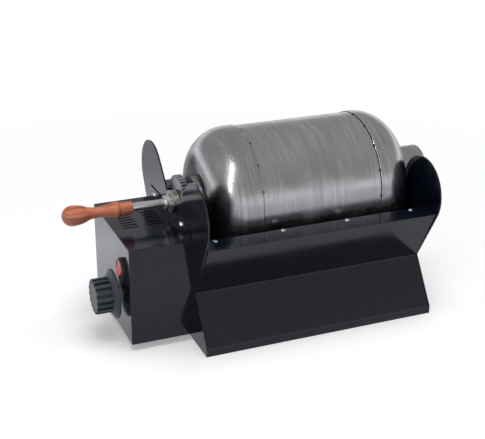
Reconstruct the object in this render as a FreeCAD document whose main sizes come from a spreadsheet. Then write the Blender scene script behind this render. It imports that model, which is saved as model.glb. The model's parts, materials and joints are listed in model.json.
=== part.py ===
import FreeCAD, Part
import math
import os
import Sketcher

# Drum roaster: an end-plate stand with a turning drum, a handle and a control box.
# X runs along the drum from the handle to the open neck, -Y is the front, Z is up.

doc = FreeCAD.newDocument("Roaster")
sheet = doc.addObject("Spreadsheet::Sheet", "Sizes")

# Driving dimensions in millimetres.
sizes = {
    # stand: two end plates joined by two folded panels
    "stand_length": 272.0,
    "plate": 2.0,
    "panel_wall": 1.4,
    "panel_sheet": 1.2,
    "foot_half": 104.0,
    "foot_rise": 9.0,
    "foot_flange": 14.0,
    "waist_half": 70.0,
    "waist_height": 59.5,
    "lobe_half": 69.0,
    "lobe_height": 136.5,
    "lobe_radius": 42.0,
    "rim_height": 120.0,
    "rim_width": 27.0,
    "fold_radius": 1.0,
    "axis_height": 139.0,
    # reflector tray and heaters under the drum
    "tray_sheet": 1.0,
    "tray_flange": 15.0,
    "tray_shoulder": 10.0,
    "tray_waist_half": 57.0,
    "tray_waist_drop": 77.0,
    "tray_floor_half": 49.0,
    "tray_floor_drop": 105.0,
    "heater_radius": 3.3,
    "heater_drop": 92.0,
    "heater_inner": 13.0,
    "heater_outer": 39.0,
    "heater_tail": 20.0,
    "heater_bend_gap": 26.0,
    "insulator_radius": 6.5,
    "insulator_collar": 8.5,
    "insulator_length": 9.0,
    "support_width": 8.0,
    "support_place": 190.0,
    "bulb_radius": 3.0,
    "bulb_length": 78.0,
    "bulb_drop": 88.0,
    "clip_place": 62.0,
    "clip_width": 4.0,
    "clip_side": 2.5,
    "clip_cap": 1.5,
    "capillary_radius": 1.0,
    "grommet_radius": 2.5,
    # drum
    "drum_radius": 74.0,
    "drum_sheet": 1.0,
    "seam_left": 77.0,
    "seam_right": 218.0,
    "seam_overlap": 4.0,
    "dome_gap_left": 23.0,
    "dome_gap_right": 3.0,
    "dome_knuckle": 44.0,
    "neck_radius": 26.0,
    "neck_reach": 32.0,
    "neck_wall": 1.2,
    "vane_height": 16.0,
    "vane_sheet": 1.5,
    "vane_count": 4.0,
    "vane_end_gap": 8.0,
    "vane_foot": 8.0,
    "vane_foot_sag": 0.7,
    # spindle, gear pair and bearing at the handle end
    "spindle_radius": 4.5,
    "hub_radius": 24.0,
    "hub_flange": 3.0,
    "hub_boss_radius": 11.0,
    "hub_screw_circle": 18.0,
    "gear_teeth": 36.0,
    "pinion_teeth": 14.0,
    "gear_module": 1.5,
    "gear_addendum": 0.9,
    "gear_width": 7.0,
    "gear_place": 5.6,
    "backlash": 0.35,
    "pressure_angle": 20.0,
    "bearing_body_radius": 10.0,
    "bearing_flange_radius": 12.5,
    "bearing_flange": 3.2,
    "bearing_inner_flange": 2.4,
    "collar_radius": 8.0,
    "collar_length": 5.0,
    "washer_radius": 9.5,
    "washer": 1.0,
    # wooden grip
    "rod_length": 46.0,
    "grip_length": 76.0,
    "grip_socket": 30.0,
    "grip_small_radius": 6.8,
    "grip_flare_radius": 9.7,
    "grip_neck_radius": 5.8,
    "grip_bulb_radius": 11.0,
    # control box beside the left end plate
    "box_width": 69.0,
    "box_front": 63.0,
    "box_rear": 76.0,
    "box_top_drop": 21.0,
    "box_bottom": 8.0,
    "box_sheet": 1.2,
    "box_corner": 1.6,
    "flange_height": 13.0,
    "flange_front": 58.0,
    "flange_corner": 6.0,
    "flange_notch": 17.0,
    "flange_screw_front": 26.0,
    "flange_screw_rear": 17.0,
    "slot_length": 17.0,
    "slot_width": 2.8,
    "slot_pitch": 7.0,
    "slot_count": 6.0,
    "slot_first": -5.0,
    "slot_left_group": 57.0,
    "slot_right_group": 29.0,
    # switch, knob and thermostat
    "switch_place": 36.0,
    "switch_height": 87.0,
    "bezel_radius": 11.5,
    "bezel_rim": 4.5,
    "bezel_lip": 0.6,
    "switch_body_radius": 10.2,
    "switch_body_depth": 15.0,
    "switch_well": 6.0,
    "rocker_radius": 8.4,
    "rocker_front": 4.2,
    "rocker_back": 2.5,
    "rocker_hollow": 32.0,
    "well_radius": 9.4,
    "rocker_tilt": 8.0,
    "knob_place": 21.0,
    "knob_height": 51.0,
    "skirt_radius": 27.3,
    "skirt_gap": 2.0,
    "skirt_rim": 2.0,
    "skirt_slope": 4.5,
    "knob_radius": 19.5,
    "knob_depth": 17.0,
    "flute_width": 3.4,
    "flute_depth": 3.0,
    "flute_count": 16.0,
    "cap_radius": 15.5,
    "cap_recess": 1.2,
    "cap_sheet": 1.0,
    "knob_shaft_radius": 3.0,
    "thermostat_width": 42.0,
    "thermostat_depth": 26.0,
    "bushing_radius": 5.0,
    # gear motor and wiring inside the box
    "motor_radius": 27.0,
    "motor_depth": 20.0,
    "gearcase_radius": 29.0,
    "gearcase_depth": 16.0,
    "motor_drop": 14.0,
    "motor_boss": 6.0,
    "motor_shaft_radius": 3.5,
    "motor_screw_reach": 34.0,
    "motor_ear": 2.0,
    "motor_ear_width": 12.0,
    "motor_ear_end": 5.0,
    "motor_soft_edge": 2.0,
    "shaft_tail": 9.5,
    "shaft_nose": 1.5,
    "terminal_length": 46.0,
    "terminal_width": 18.0,
    "terminal_height": 16.0,
    "terminal_gap": 10.0,
    "terminal_inset": 45.0,
    "terminal_well_radius": 2.6,
    "terminal_well": 6.0,
    "gland_radius": 8.0,
    "gland_bore": 3.6,
    "gland_length": 12.0,
    "gland_height": 30.0,
    "gland_inset": 20.0,
    # fasteners and running clearances
    "screw_head_radius": 3.4,
    "screw_head": 2.2,
    "screw_radius": 1.7,
    "screw_length": 6.0,
    "rim_screw_inset": 3.6,
    "fit": 0.15,
    "running": 0.35,
}


# A size carries its value and the expression that binds it to the sheet.
class Size:
    def __init__(self, value, text):
        self.value = float(value)
        self.text = text

    def __add__(self, other):
        other = as_size(other)
        return Size(self.value + other.value, "(%s + %s)" % (self.text, other.text))

    def __sub__(self, other):
        other = as_size(other)
        return Size(self.value - other.value, "(%s - %s)" % (self.text, other.text))

    def __mul__(self, other):
        other = as_size(other)
        return Size(self.value * other.value, "(%s * %s)" % (self.text, other.text))

    def __truediv__(self, other):
        other = as_size(other)
        return Size(self.value / other.value, "(%s / %s)" % (self.text, other.text))

    def __neg__(self):
        return Size(-self.value, "(0 - %s)" % self.text)

    __radd__ = __add__
    __rmul__ = __mul__


def as_size(item):
    if isinstance(item, Size):
        return item
    return Size(item, "%.6f" % item)


def root(size):
    return Size(math.sqrt(size.value), "sqrt(%s)" % size.text)


class Table:
    pass


s = Table()
for row, (name, value) in enumerate(sizes.items(), start=1):
    sheet.set("A%d" % row, name)
    sheet.set("B%d" % row, str(value))
    sheet.setAlias("B%d" % row, name)
    setattr(s, name, Size(value, "Sizes." + name))
doc.recompute()

zero = Size(0.0, "0")

# Places along the drum axis, measured from the outer face of the left end plate.
plate_inside = s.plate
right_plate = s.stand_length - s.plate
dome_left_end = s.dome_gap_left + s.plate
dome_right_end = right_plate - s.dome_gap_right
neck_end = s.stand_length + s.neck_reach
grip_end = s.rod_length + s.grip_length
# The origin lies in the middle of the whole length, below the drum axis.
x_left = (grip_end - neck_end) / 2.0

parts = []


def bind(thing, prop, size):
    thing.setExpression(prop, as_size(size).text)


def put(thing, x, y, z):
    spot = (as_size(x), as_size(y), as_size(z))
    base = FreeCAD.Vector(*[item.value for item in spot])
    thing.Placement = FreeCAD.Placement(base, thing.Placement.Rotation)
    for axis, item in zip("xyz", spot):
        thing.setExpression("Placement.Base." + axis, item.text)


def keep(thing, name):
    thing.Label = name
    parts.append(thing)
    return thing


def new_body(name, x=zero, y=zero, z=zero):
    body = doc.addObject("PartDesign::Body", name + "_body")
    put(body, x, y, z)
    return body


def plane_of(body, role):
    return [item for item in body.Origin.OriginFeatures if item.Role == role][0]


def arc_between(start, end, radius, turn):
    # turn +1 runs counter-clockwise from start to end, -1 clockwise
    middle = (start + end) * 0.5
    chord = end - start
    half = chord.Length / 2.0
    side = FreeCAD.Vector(-chord.y, chord.x, 0).normalize()
    centre = middle + side * (turn * math.sqrt(max(radius ** 2 - half ** 2, 0.0)))
    circle = Part.Circle(centre, FreeCAD.Vector(0, 0, 1), radius)
    first, last = (start, end) if turn > 0 else (end, start)
    angles = [math.atan2(p.y - centre.y, p.x - centre.x) for p in (first, last)]
    return Part.ArcOfCircle(circle, angles[0], angles[1])


def add_loop(sketch, corners):
    # A corner is (a, b) before a straight edge, or (a, b, radius, turn) before an arc.
    count = len(corners)
    spots = [FreeCAD.Vector(as_size(c[0]).value, as_size(c[1]).value, 0) for c in corners]
    ends = []
    for i, corner in enumerate(corners):
        start, end = spots[i], spots[(i + 1) % count]
        if len(corner) == 2:
            index = sketch.addGeometry(Part.LineSegment(start, end))
            ends.append((index, 1, 2))
        else:
            shape = arc_between(start, end, as_size(corner[2]).value, corner[3])
            index = sketch.addGeometry(shape)
            ends.append((index, 1, 2) if corner[3] > 0 else (index, 2, 1))
    for i in range(count):
        here, after = ends[i], ends[(i + 1) % count]
        join = ("Coincident", here[0], here[2], after[0], after[1])
        sketch.addConstraint(Sketcher.Constraint(*join))
    for i, corner in enumerate(corners):
        index, spot = ends[i][0], ends[i][1]
        for kind, item, axis in (("DistanceX", corner[0], -2), ("DistanceY", corner[1], -1)):
            item = as_size(item)
            if item.text == "0":
                rule = Sketcher.Constraint("PointOnObject", index, spot, axis)
                sketch.addConstraint(rule)
                continue
            rule = Sketcher.Constraint(kind, -1, 1, index, spot, item.value)
            number = sketch.addConstraint(rule)
            sketch.setExpression("Constraints[%d]" % number, item.text)
        if len(corner) > 2:
            radius = as_size(corner[2])
            number = sketch.addConstraint(Sketcher.Constraint("Radius", index, radius.value))
            sketch.setExpression("Constraints[%d]" % number, radius.text)


def add_circle(sketch, a, b, radius):
    a, b, radius = as_size(a), as_size(b), as_size(radius)
    centre = FreeCAD.Vector(a.value, b.value, 0)
    shape = Part.Circle(centre, FreeCAD.Vector(0, 0, 1), radius.value)
    index = sketch.addGeometry(shape)
    for kind, item, axis in (("DistanceX", a, -2), ("DistanceY", b, -1)):
        if item.text == "0":
            sketch.addConstraint(Sketcher.Constraint("PointOnObject", index, 3, axis))
            continue
        number = sketch.addConstraint(Sketcher.Constraint(kind, -1, 1, index, 3, item.value))
        sketch.setExpression("Constraints[%d]" % number, item.text)
    number = sketch.addConstraint(Sketcher.Constraint("Radius", index, radius.value))
    sketch.setExpression("Constraints[%d]" % number, radius.text)


def new_sketch(body, role, name, offset=None):
    sketch = body.newObject("Sketcher::SketchObject", name)
    sketch.AttachmentSupport = (plane_of(body, role), [""])
    sketch.MapMode = "FlatFace"
    if offset is not None:
        sketch.AttachmentOffset = FreeCAD.Placement(
            FreeCAD.Vector(0, 0, as_size(offset).value), FreeCAD.Rotation())
        bind(sketch, "AttachmentOffset.Base.z", offset)
    return sketch


def pad(body, sketch, length, reverse=False):
    feature = body.newObject("PartDesign::Pad", sketch.Name + "_pad")
    feature.Profile = sketch
    bind(feature, "Length", length)
    feature.Reversed = reverse
    sketch.Visibility = False
    return feature


def pocket(body, sketch, length, reverse=False):
    doc.recompute()
    before = body.Shape.Volume
    feature = body.newObject("PartDesign::Pocket", sketch.Name + "_pocket")
    feature.Profile = sketch
    bind(feature, "Length", length)
    feature.Reversed = reverse
    doc.recompute()
    if body.Shape.Volume > before - 1e-3:
        raise RuntimeError("pocket cuts nothing: " + sketch.Name)
    return feature


def turned(name, corners, x=x_left, y=zero, z=s.axis_height):
    # A solid of revolution about the X direction through its own origin.
    body = new_body(name, x, y, z)
    sketch = new_sketch(body, "XZ_Plane", name + "_profile")
    add_loop(sketch, corners)
    feature = body.newObject("PartDesign::Revolution", name + "_turn")
    feature.Profile = sketch
    feature.ReferenceAxis = (sketch, ["H_Axis"])
    feature.Angle = 360
    return keep(body, name)


def edges_where(shape, test):
    return ["Edge%d" % (i + 1) for i, edge in enumerate(shape.Edges) if test(edge)]


def round_edges(body, radius, test):
    doc.recompute()
    base = body.Tip
    names = edges_where(base.Shape, test)
    feature = body.newObject("PartDesign::Fillet", base.Name + "_fillet")
    feature.Base = (base, names)
    bind(feature, "Radius", radius)
    return feature


def along_x(edge, y, z, near=0.01):
    a, b = edge.Vertexes[0].Point, edge.Vertexes[-1].Point
    level = abs(a.y - b.y) < near and abs(a.z - b.z) < near
    return level and abs(a.y - y) < near and abs(a.z - z) < near and abs(a.x - b.x) > 1.0


def cylinder(name, radius, length, x, y, z, axis="x"):
    # A Part cylinder from (x, y, z) along +X, +Y or +Z.
    thing = doc.addObject("Part::Cylinder", name)
    bind(thing, "Radius", radius)
    bind(thing, "Height", length)
    turns = {"x": (FreeCAD.Vector(0, 1, 0), 90), "y": (FreeCAD.Vector(1, 0, 0), -90),
             "z": (FreeCAD.Vector(0, 0, 1), 0)}
    thing.Placement = FreeCAD.Placement(FreeCAD.Vector(), FreeCAD.Rotation(*turns[axis]))
    put(thing, x, y, z)
    return thing


def block(name, length, width, height, x, y, z):
    thing = doc.addObject("Part::Box", name)
    bind(thing, "Length", length)
    bind(thing, "Width", width)
    bind(thing, "Height", height)
    put(thing, x, y, z)
    return thing


def joined(name, things):
    thing = doc.addObject("Part::MultiFuse", name)
    thing.Shapes = things
    return thing


def cut(name, base, tool):
    thing = doc.addObject("Part::Cut", name)
    thing.Base = base
    thing.Tool = tool
    return thing


# End plates: a foot, a waist and two round lobes with the drum's notch between them.
def tangent_from_waist():
    a = s.lobe_half - s.waist_half
    b = s.lobe_height - s.waist_height
    square = a * a + b * b
    reach = root(square - s.lobe_radius * s.lobe_radius)
    along = (a * reach + b * s.lobe_radius) / square
    up = (b * reach - a * s.lobe_radius) / square
    return along, up, s.waist_half + along * reach, s.waist_height + up * reach


slope_out, slope_up, tangent_half, tangent_height = tangent_from_waist()
rim_half = s.waist_half + (s.rim_height - s.waist_height) * slope_out / slope_up


def notch_tangent(notch_radius):
    # The straight flank between a lobe and the notch touches both circles.
    a = s.lobe_half
    b = s.lobe_height - s.axis_height
    square = a * a + b * b
    gap = s.lobe_radius + notch_radius
    rest = root(square - gap * gap)
    side = (a * gap + b * rest) / square
    down = (b * gap - a * rest) / square
    low = (side * notch_radius, s.axis_height + down * notch_radius)
    high = (s.lobe_half - side * s.lobe_radius, s.lobe_height - down * s.lobe_radius)
    return low, high


def end_plate(name, x, notch_radius, holes):
    body = new_body(name, x)
    sketch = new_sketch(body, "YZ_Plane", name + "_outline")
    low, high = notch_tangent(notch_radius)
    top = s.lobe_height + s.lobe_radius
    add_loop(sketch, [
        (-s.foot_half, zero),
        (s.foot_half, zero),
        (s.foot_half, s.foot_rise),
        (s.waist_half, s.waist_height),
        (tangent_half, tangent_height, s.lobe_radius, 1),
        (s.lobe_half, top, s.lobe_radius, 1),
        (high[0], high[1]),
        (low[0], low[1], notch_radius, -1),
        (-low[0], low[1]),
        (-high[0], high[1], s.lobe_radius, 1),
        (-s.lobe_half, top, s.lobe_radius, 1),
        (-tangent_half, tangent_height),
        (-s.waist_half, s.waist_height),
        (-s.foot_half, s.foot_rise),
    ])
    pad(body, sketch, s.plate)
    if holes:
        drill = new_sketch(body, "YZ_Plane", name + "_holes")
        for y, z, radius in holes:
            add_circle(drill, y, z, radius)
        pocket(body, drill, s.plate, reverse=True)
    return keep(body, name)


# Heights that are measured down from the drum's axis.
tray_waist_height = s.axis_height - s.tray_waist_drop
tray_floor_height = s.axis_height - s.tray_floor_drop
heater_height = s.axis_height - s.heater_drop
bulb_height = s.axis_height - s.bulb_drop
box_top = s.axis_height - s.box_top_drop
heater_rows = [-s.heater_outer, -s.heater_inner, s.heater_inner, s.heater_outer]
gear_pitch = s.gear_module * s.gear_teeth / 2.0
pinion_pitch = s.gear_module * s.pinion_teeth / 2.0
pinion_height = s.axis_height - gear_pitch - pinion_pitch
flange_screw_height = box_top + s.flange_height / 2.0
flange_screw_rows = [-s.flange_front + s.flange_screw_front,
                     s.box_rear - s.flange_screw_rear]

left_holes = [(row, heater_height, s.insulator_radius + s.fit) for row in heater_rows]
left_holes.append((zero, bulb_height, s.grommet_radius + s.fit))
left_holes.append((zero, pinion_height, s.motor_boss + s.fit))
for row in flange_screw_rows:
    left_holes.append((row, flange_screw_height, s.screw_radius + s.fit))
motor_height = pinion_height - s.motor_drop
for side in (-1, 1):
    spot = s.motor_screw_reach * side
    left_holes.append((spot, motor_height, s.screw_radius + s.fit))
end_plate("left_end_plate", x_left, s.bearing_body_radius + s.running, left_holes)
end_plate("right_end_plate", x_left + right_plate, s.neck_radius + s.running, [])


# Front and rear panels, folded at the rim, the waist and the foot.
def panel(name, side):
    # side -1 is the front panel, +1 the rear one
    body = new_body(name, x_left + plate_inside)
    sketch = new_sketch(body, "YZ_Plane", name + "_section")
    rim_inside = rim_half - s.rim_width
    outline = [
        (rim_inside, s.rim_height),
        (rim_half, s.rim_height),
        (s.waist_half, s.waist_height),
        (s.foot_half, s.foot_rise),
        (s.foot_half, zero),
        (s.foot_half - s.foot_flange, zero),
        (s.foot_half - s.foot_flange, s.panel_sheet),
        (s.foot_half - s.panel_wall, s.panel_sheet),
        (s.foot_half - s.panel_wall, s.foot_rise),
        (s.waist_half - s.panel_wall, s.waist_height),
        (rim_half - s.panel_wall * 1.3, s.rim_height - s.panel_sheet),
        (rim_inside, s.rim_height - s.panel_sheet),
    ]
    add_loop(sketch, [(y * side, z) for y, z in outline])
    pad(body, sketch, right_plate - plate_inside)
    folds = [(rim_half, s.rim_height), (s.waist_half, s.waist_height),
             (s.foot_half, s.foot_rise)]
    places = [(side * y.value, z.value) for y, z in folds]
    round_edges(body, s.fold_radius,
                lambda edge: any(along_x(edge, y, z) for y, z in places))
    drill = new_sketch(body, "XY_Plane", name + "_holes", s.rim_height)
    for place in rim_screw_places:
        row = (rim_inside + s.rim_screw_inset) * side
        add_circle(drill, place - plate_inside, row, s.screw_radius + s.fit)
    pocket(body, drill, s.panel_sheet)
    return keep(body, name)


rim_screw_places = [s.stand_length * part for part in (0.065, 0.35, 0.63, 0.92)]
panel("front_panel", -1)
panel("rear_panel", 1)


# Reflector tray, a folded trough hung under the two rims.
def reflector_tray():
    name = "reflector_tray"
    body = new_body(name, x_left + plate_inside)
    sketch = new_sketch(body, "YZ_Plane", name + "_section")
    rim_inside = rim_half - s.rim_width
    top = s.rim_height - s.panel_sheet
    wall = s.tray_sheet
    half = [
        (rim_inside + s.tray_flange, top),
        (rim_inside + s.tray_flange, top - wall),
        (rim_inside + wall, top - wall),
        (rim_inside + wall, top - s.tray_shoulder),
        (s.tray_waist_half + wall, tray_waist_height),
        (s.tray_floor_half + wall, tray_floor_height - wall),
    ]
    inner = [
        (s.tray_floor_half, tray_floor_height),
        (s.tray_waist_half, tray_waist_height),
        (rim_inside, top - s.tray_shoulder),
        (rim_inside, top),
    ]
    mirrored = [(-y, z) for y, z in reversed(half)]
    add_loop(sketch, half + mirrored + [(-y, z) for y, z in reversed(inner)] + inner)
    pad(body, sketch, right_plate - plate_inside)
    drill = new_sketch(body, "XY_Plane", name + "_holes", top)
    for place in rim_screw_places:
        for side in (-1, 1):
            row = (rim_inside + s.rim_screw_inset) * side
            add_circle(drill, place - plate_inside, row, s.screw_radius + s.fit)
    pocket(body, drill, wall)
    return keep(body, name)


reflector_tray()


# Screws: a shallow cone head on a straight shank, pointing along an axis.
def screw_group(name, spots, axis, head_side):
    # head_side +1 puts the head on the positive side of the seat
    things = []
    for i, spot in enumerate(spots):
        shank_start = [as_size(item) for item in spot]
        number = "xyz".index(axis)
        if head_side > 0:
            shank_start[number] = shank_start[number] - s.screw_length
        shank = cylinder("%s_shank%d" % (name, i), s.screw_radius, s.screw_length,
                         *shank_start, axis=axis)
        head = doc.addObject("Part::Cone", "%s_head%d" % (name, i))
        wide, narrow = s.screw_head_radius, s.screw_head_radius * 0.7
        bind(head, "Radius1", wide)
        bind(head, "Radius2", narrow)
        bind(head, "Height", s.screw_head)
        turns = {("x", 1): (FreeCAD.Vector(0, 1, 0), 90), ("x", -1): (FreeCAD.Vector(0, 1, 0), -90),
                 ("z", 1): (FreeCAD.Vector(0, 0, 1), 0), ("z", -1): (FreeCAD.Vector(1, 0, 0), 180)}
        turn = FreeCAD.Rotation(*turns[(axis, head_side)])
        head.Placement = FreeCAD.Placement(FreeCAD.Vector(), turn)
        put(head, *spot)
        things.extend([shank, head])
    return keep(joined(name, things), name)


def rim_screws(name, side):
    row = (rim_half - s.rim_width + s.rim_screw_inset) * side
    spots = [(x_left + place, row, s.rim_height) for place in rim_screw_places]
    screw_group(name, spots, "z", 1)


rim_screws("front_rim_screws", -1)
rim_screws("rear_rim_screws", 1)
flange_seat = x_left - s.box_sheet
screw_group("flange_screws", [(flange_seat, row, flange_screw_height)
                              for row in flange_screw_rows], "x", -1)


# Tubular heaters: two hairpins lying along the tray, with their tails in the box.
def heater(name, inner_row, outer_row):
    straight = s.stand_length - s.heater_bend_gap - s.heater_outer + s.heater_tail
    start = x_left - s.heater_tail
    bend = doc.addObject("Part::Torus", name + "_bend")
    bind(bend, "Radius1", (s.heater_outer - s.heater_inner) / 2.0)
    bind(bend, "Radius2", s.heater_radius)
    bend.Angle3 = 180
    bend.Placement = FreeCAD.Placement(FreeCAD.Vector(),
                                       FreeCAD.Rotation(FreeCAD.Vector(0, 0, 1), -90))
    put(bend, start + straight, (inner_row + outer_row) / 2.0, heater_height)
    legs = [cylinder("%s_leg%d" % (name, i), s.heater_radius, straight,
                     start, row, heater_height)
            for i, row in enumerate((inner_row, outer_row))]
    return keep(joined(name, legs + [bend]), name)


heater("front_heater", -s.heater_inner, -s.heater_outer)
heater("rear_heater", s.heater_inner, s.heater_outer)


# Ceramic insulators where the heater tails pass the left end plate.
def heater_insulators():
    bodies = []
    for i, row in enumerate(heater_rows):
        sleeve = cylinder("insulator_sleeve%d" % i, s.insulator_radius, s.insulator_length,
                          x_left - s.insulator_length + plate_inside, row, heater_height)
        collar = cylinder("insulator_collar%d" % i, s.insulator_collar, 3.0,
                          x_left + plate_inside, row, heater_height)
        bodies.append(joined("insulator_blank%d" % i, [sleeve, collar]))
    bores = [cylinder("insulator_bore%d" % i, s.heater_radius + s.fit, s.insulator_length + 3.0,
                      x_left - s.insulator_length + plate_inside, row, heater_height)
             for i, row in enumerate(heater_rows)]
    return keep(cut("heater_insulators", joined("insulator_blanks", bodies),
                    joined("insulator_bores", bores)), "heater_insulators")


heater_insulators()


# Heater support: a holed bar standing on the tray floor.
def heater_support():
    name = "heater_support"
    body = new_body(name, x_left + s.support_place)
    sketch = new_sketch(body, "YZ_Plane", name + "_outline")
    half = s.heater_outer + 7.5
    top = heater_height + 7.0
    add_loop(sketch, [(-half, tray_floor_height), (half, tray_floor_height),
                      (half, top), (-half, top)])
    pad(body, sketch, s.support_width)
    drill = new_sketch(body, "YZ_Plane", name + "_holes")
    for row in heater_rows:
        add_circle(drill, row, heater_height, s.heater_radius + s.fit)
    pocket(body, drill, s.support_width, reverse=True)
    return keep(body, name)


heater_support()


# Thermostat bulb in the tray, its capillary and the grommet in the plate.
def thermostat_bulb():
    tip = x_left + 30.0
    bulb = cylinder("bulb_body", s.bulb_radius, s.bulb_length, tip, zero, bulb_height)
    reach = s.box_width - s.box_sheet - s.thermostat_depth - 4.0
    pipe = cylinder("bulb_capillary", s.capillary_radius, reach + 32.0,
                    x_left - reach, zero, bulb_height)
    return keep(joined("thermostat_bulb", [bulb, pipe]), "thermostat_bulb")


def bulb_grommet():
    name = "bulb_grommet"
    ring = s.grommet_radius
    lip = ring + 1.2
    bore = s.capillary_radius + s.fit
    start = -1.5
    return turned(name, [
        (start, bore), (start, lip), (zero - s.fit, lip), (zero - s.fit, ring),
        (s.plate + s.fit, ring), (s.plate + s.fit, lip), (s.plate + 1.5, lip),
        (s.plate + 1.5, bore)], z=bulb_height)


def bulb_clip():
    # A bridge that stands on the tray floor and holds the bulb.
    name = "bulb_clip"
    body = new_body(name, x_left + s.clip_place)
    sketch = new_sketch(body, "YZ_Plane", name + "_outline")
    half = s.bulb_radius + s.clip_side
    top = bulb_height + s.bulb_radius + s.clip_cap
    add_loop(sketch, [(-half, tray_floor_height), (half, tray_floor_height),
                      (half, top), (-half, top)])
    pad(body, sketch, s.clip_width)
    drill = new_sketch(body, "YZ_Plane", name + "_hole")
    add_circle(drill, zero, bulb_height, s.bulb_radius + s.fit)
    pocket(body, drill, s.clip_width, reverse=True)
    return keep(body, name)


thermostat_bulb()
bulb_grommet()
bulb_clip()


# Drum: a rolled shell, two spun domes that overlap it, the neck and the vanes.
def drum_shell():
    low, high = s.seam_left - s.seam_overlap, s.seam_right + s.seam_overlap
    inside = s.drum_radius - s.drum_sheet
    return turned("drum_shell", [(low, inside), (high, inside),
                                 (high, s.drum_radius), (low, s.drum_radius)])


def dome(name, seam, end, hole, side):
    # side -1 is the handle end, +1 the neck end
    inner = s.drum_radius + s.fit
    outer = inner + s.drum_sheet
    bend = s.dome_knuckle
    flat = outer - bend
    start = end - bend * side
    skin = end - s.drum_sheet * side
    return turned(name, [
        (seam, outer),
        (start, outer, bend, -side),
        (end, flat),
        (end, hole),
        (skin, hole),
        (skin, flat, bend - s.drum_sheet, side),
        (start, inner),
        (seam, inner),
    ])


def neck_tube():
    start = dome_right_end - s.drum_sheet - 3.0
    inside = s.neck_radius - s.neck_wall
    return turned("neck_tube", [(start, inside), (neck_end, inside),
                                (neck_end, s.neck_radius), (start, s.neck_radius)])


def mixing_vanes():
    # Straight strips that stand inwards from the shell wall, evenly spread.
    things = []
    count = int(round(s.vane_count.value))
    length = s.seam_right - s.seam_left - s.vane_end_gap * 2.0
    foot = s.drum_radius - s.drum_sheet - s.fit
    for i in range(count):
        strip = block("vane%d" % i, length, s.vane_sheet, s.vane_height,
                      zero, -s.vane_sheet / 2.0, foot - s.vane_height)
        ring = doc.addObject("Part::MultiFuse", "vane_turn%d" % i)
        ring.Shapes = [strip, block("vane_foot%d" % i, length, s.vane_foot, s.vane_sheet,
                                    zero, zero, foot - s.vane_sheet - s.vane_foot_sag)]
        turn = FreeCAD.Rotation(FreeCAD.Vector(1, 0, 0), 45.0 + 360.0 * i / count)
        ring.Placement = FreeCAD.Placement(FreeCAD.Vector(), turn)
        put(ring, x_left + s.seam_left + s.vane_end_gap, zero, s.axis_height)
        things.append(ring)
    return keep(joined("mixing_vanes", things), "mixing_vanes")


drum_shell()
hub_hole = s.spindle_radius + s.fit
dome("left_dome", s.seam_left, dome_left_end, hub_hole, -1)
dome("right_dome", s.seam_right, dome_right_end, s.neck_radius + s.fit, 1)
neck_tube()
mixing_vanes()


# Hub, spindle and nut that carry the drum at the handle end.
gear_end = s.gear_place + s.gear_width
hub_start = dome_left_end - s.hub_flange


def drum_hub():
    return turned("drum_hub", [
        (gear_end, hub_hole), (gear_end, s.hub_boss_radius), (hub_start, s.hub_boss_radius),
        (hub_start, s.hub_radius), (dome_left_end, s.hub_radius), (dome_left_end, hub_hole)])


def spindle():
    start = -(s.rod_length + s.grip_socket)
    end = dome_left_end + s.drum_sheet + 9.0
    chamfer = 0.8
    return turned("spindle", [
        (start, zero), (end, zero), (end, s.spindle_radius - chamfer),
        (end - chamfer, s.spindle_radius), (start + chamfer, s.spindle_radius),
        (start, s.spindle_radius - chamfer)])


def spindle_nut():
    name = "spindle_nut"
    body = new_body(name, x_left + dome_left_end + s.drum_sheet, zero, s.axis_height)
    sketch = new_sketch(body, "YZ_Plane", name + "_hex")
    across = 8.0
    corners = []
    for i in range(6):
        angle = math.radians(60.0 * i)
        corners.append((as_size(across * math.cos(angle)), as_size(across * math.sin(angle))))
    add_loop(sketch, corners)
    add_circle(sketch, zero, zero, hub_hole)
    pad(body, sketch, 6.0)
    return keep(body, name)


drum_hub()
spindle()
spindle_nut()


# Involute gear pair: the ring on the drum hub and the pinion straight below it.
def tooth_edges(teeth, tip, root_radius, turn):
    pitch = s.gear_module.value * teeth / 2.0
    alpha = math.radians(s.pressure_angle.value)
    base = pitch * math.cos(alpha)
    half = (math.pi * s.gear_module.value - s.backlash.value) / 4.0 / pitch
    spread = half + math.tan(alpha) - alpha

    def flank(side):
        points = []
        for k in range(4):
            radius = base + (tip - base) * k / 3.0
            phi = math.acos(base / radius)
            angle = turn + side * (spread - (math.tan(phi) - phi))
            points.append(FreeCAD.Vector(0, radius * math.cos(angle), radius * math.sin(angle)))
        curve = Part.BSplineCurve()
        curve.interpolate(points)
        angle = turn + side * spread
        foot = FreeCAD.Vector(0, root_radius * math.cos(angle), root_radius * math.sin(angle))
        return foot, points, curve.toShape()

    foot_a, points_a, curve_a = flank(-1)
    foot_b, points_b, curve_b = flank(1)
    crest = FreeCAD.Vector(0, tip * math.cos(turn), tip * math.sin(turn))
    edges = [Part.makeLine(foot_a, points_a[0]), curve_a,
             Part.Arc(points_a[-1], crest, points_b[-1]).toShape(),
             curve_b, Part.makeLine(points_b[0], foot_b)]
    return edges, foot_a, foot_b


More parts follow.
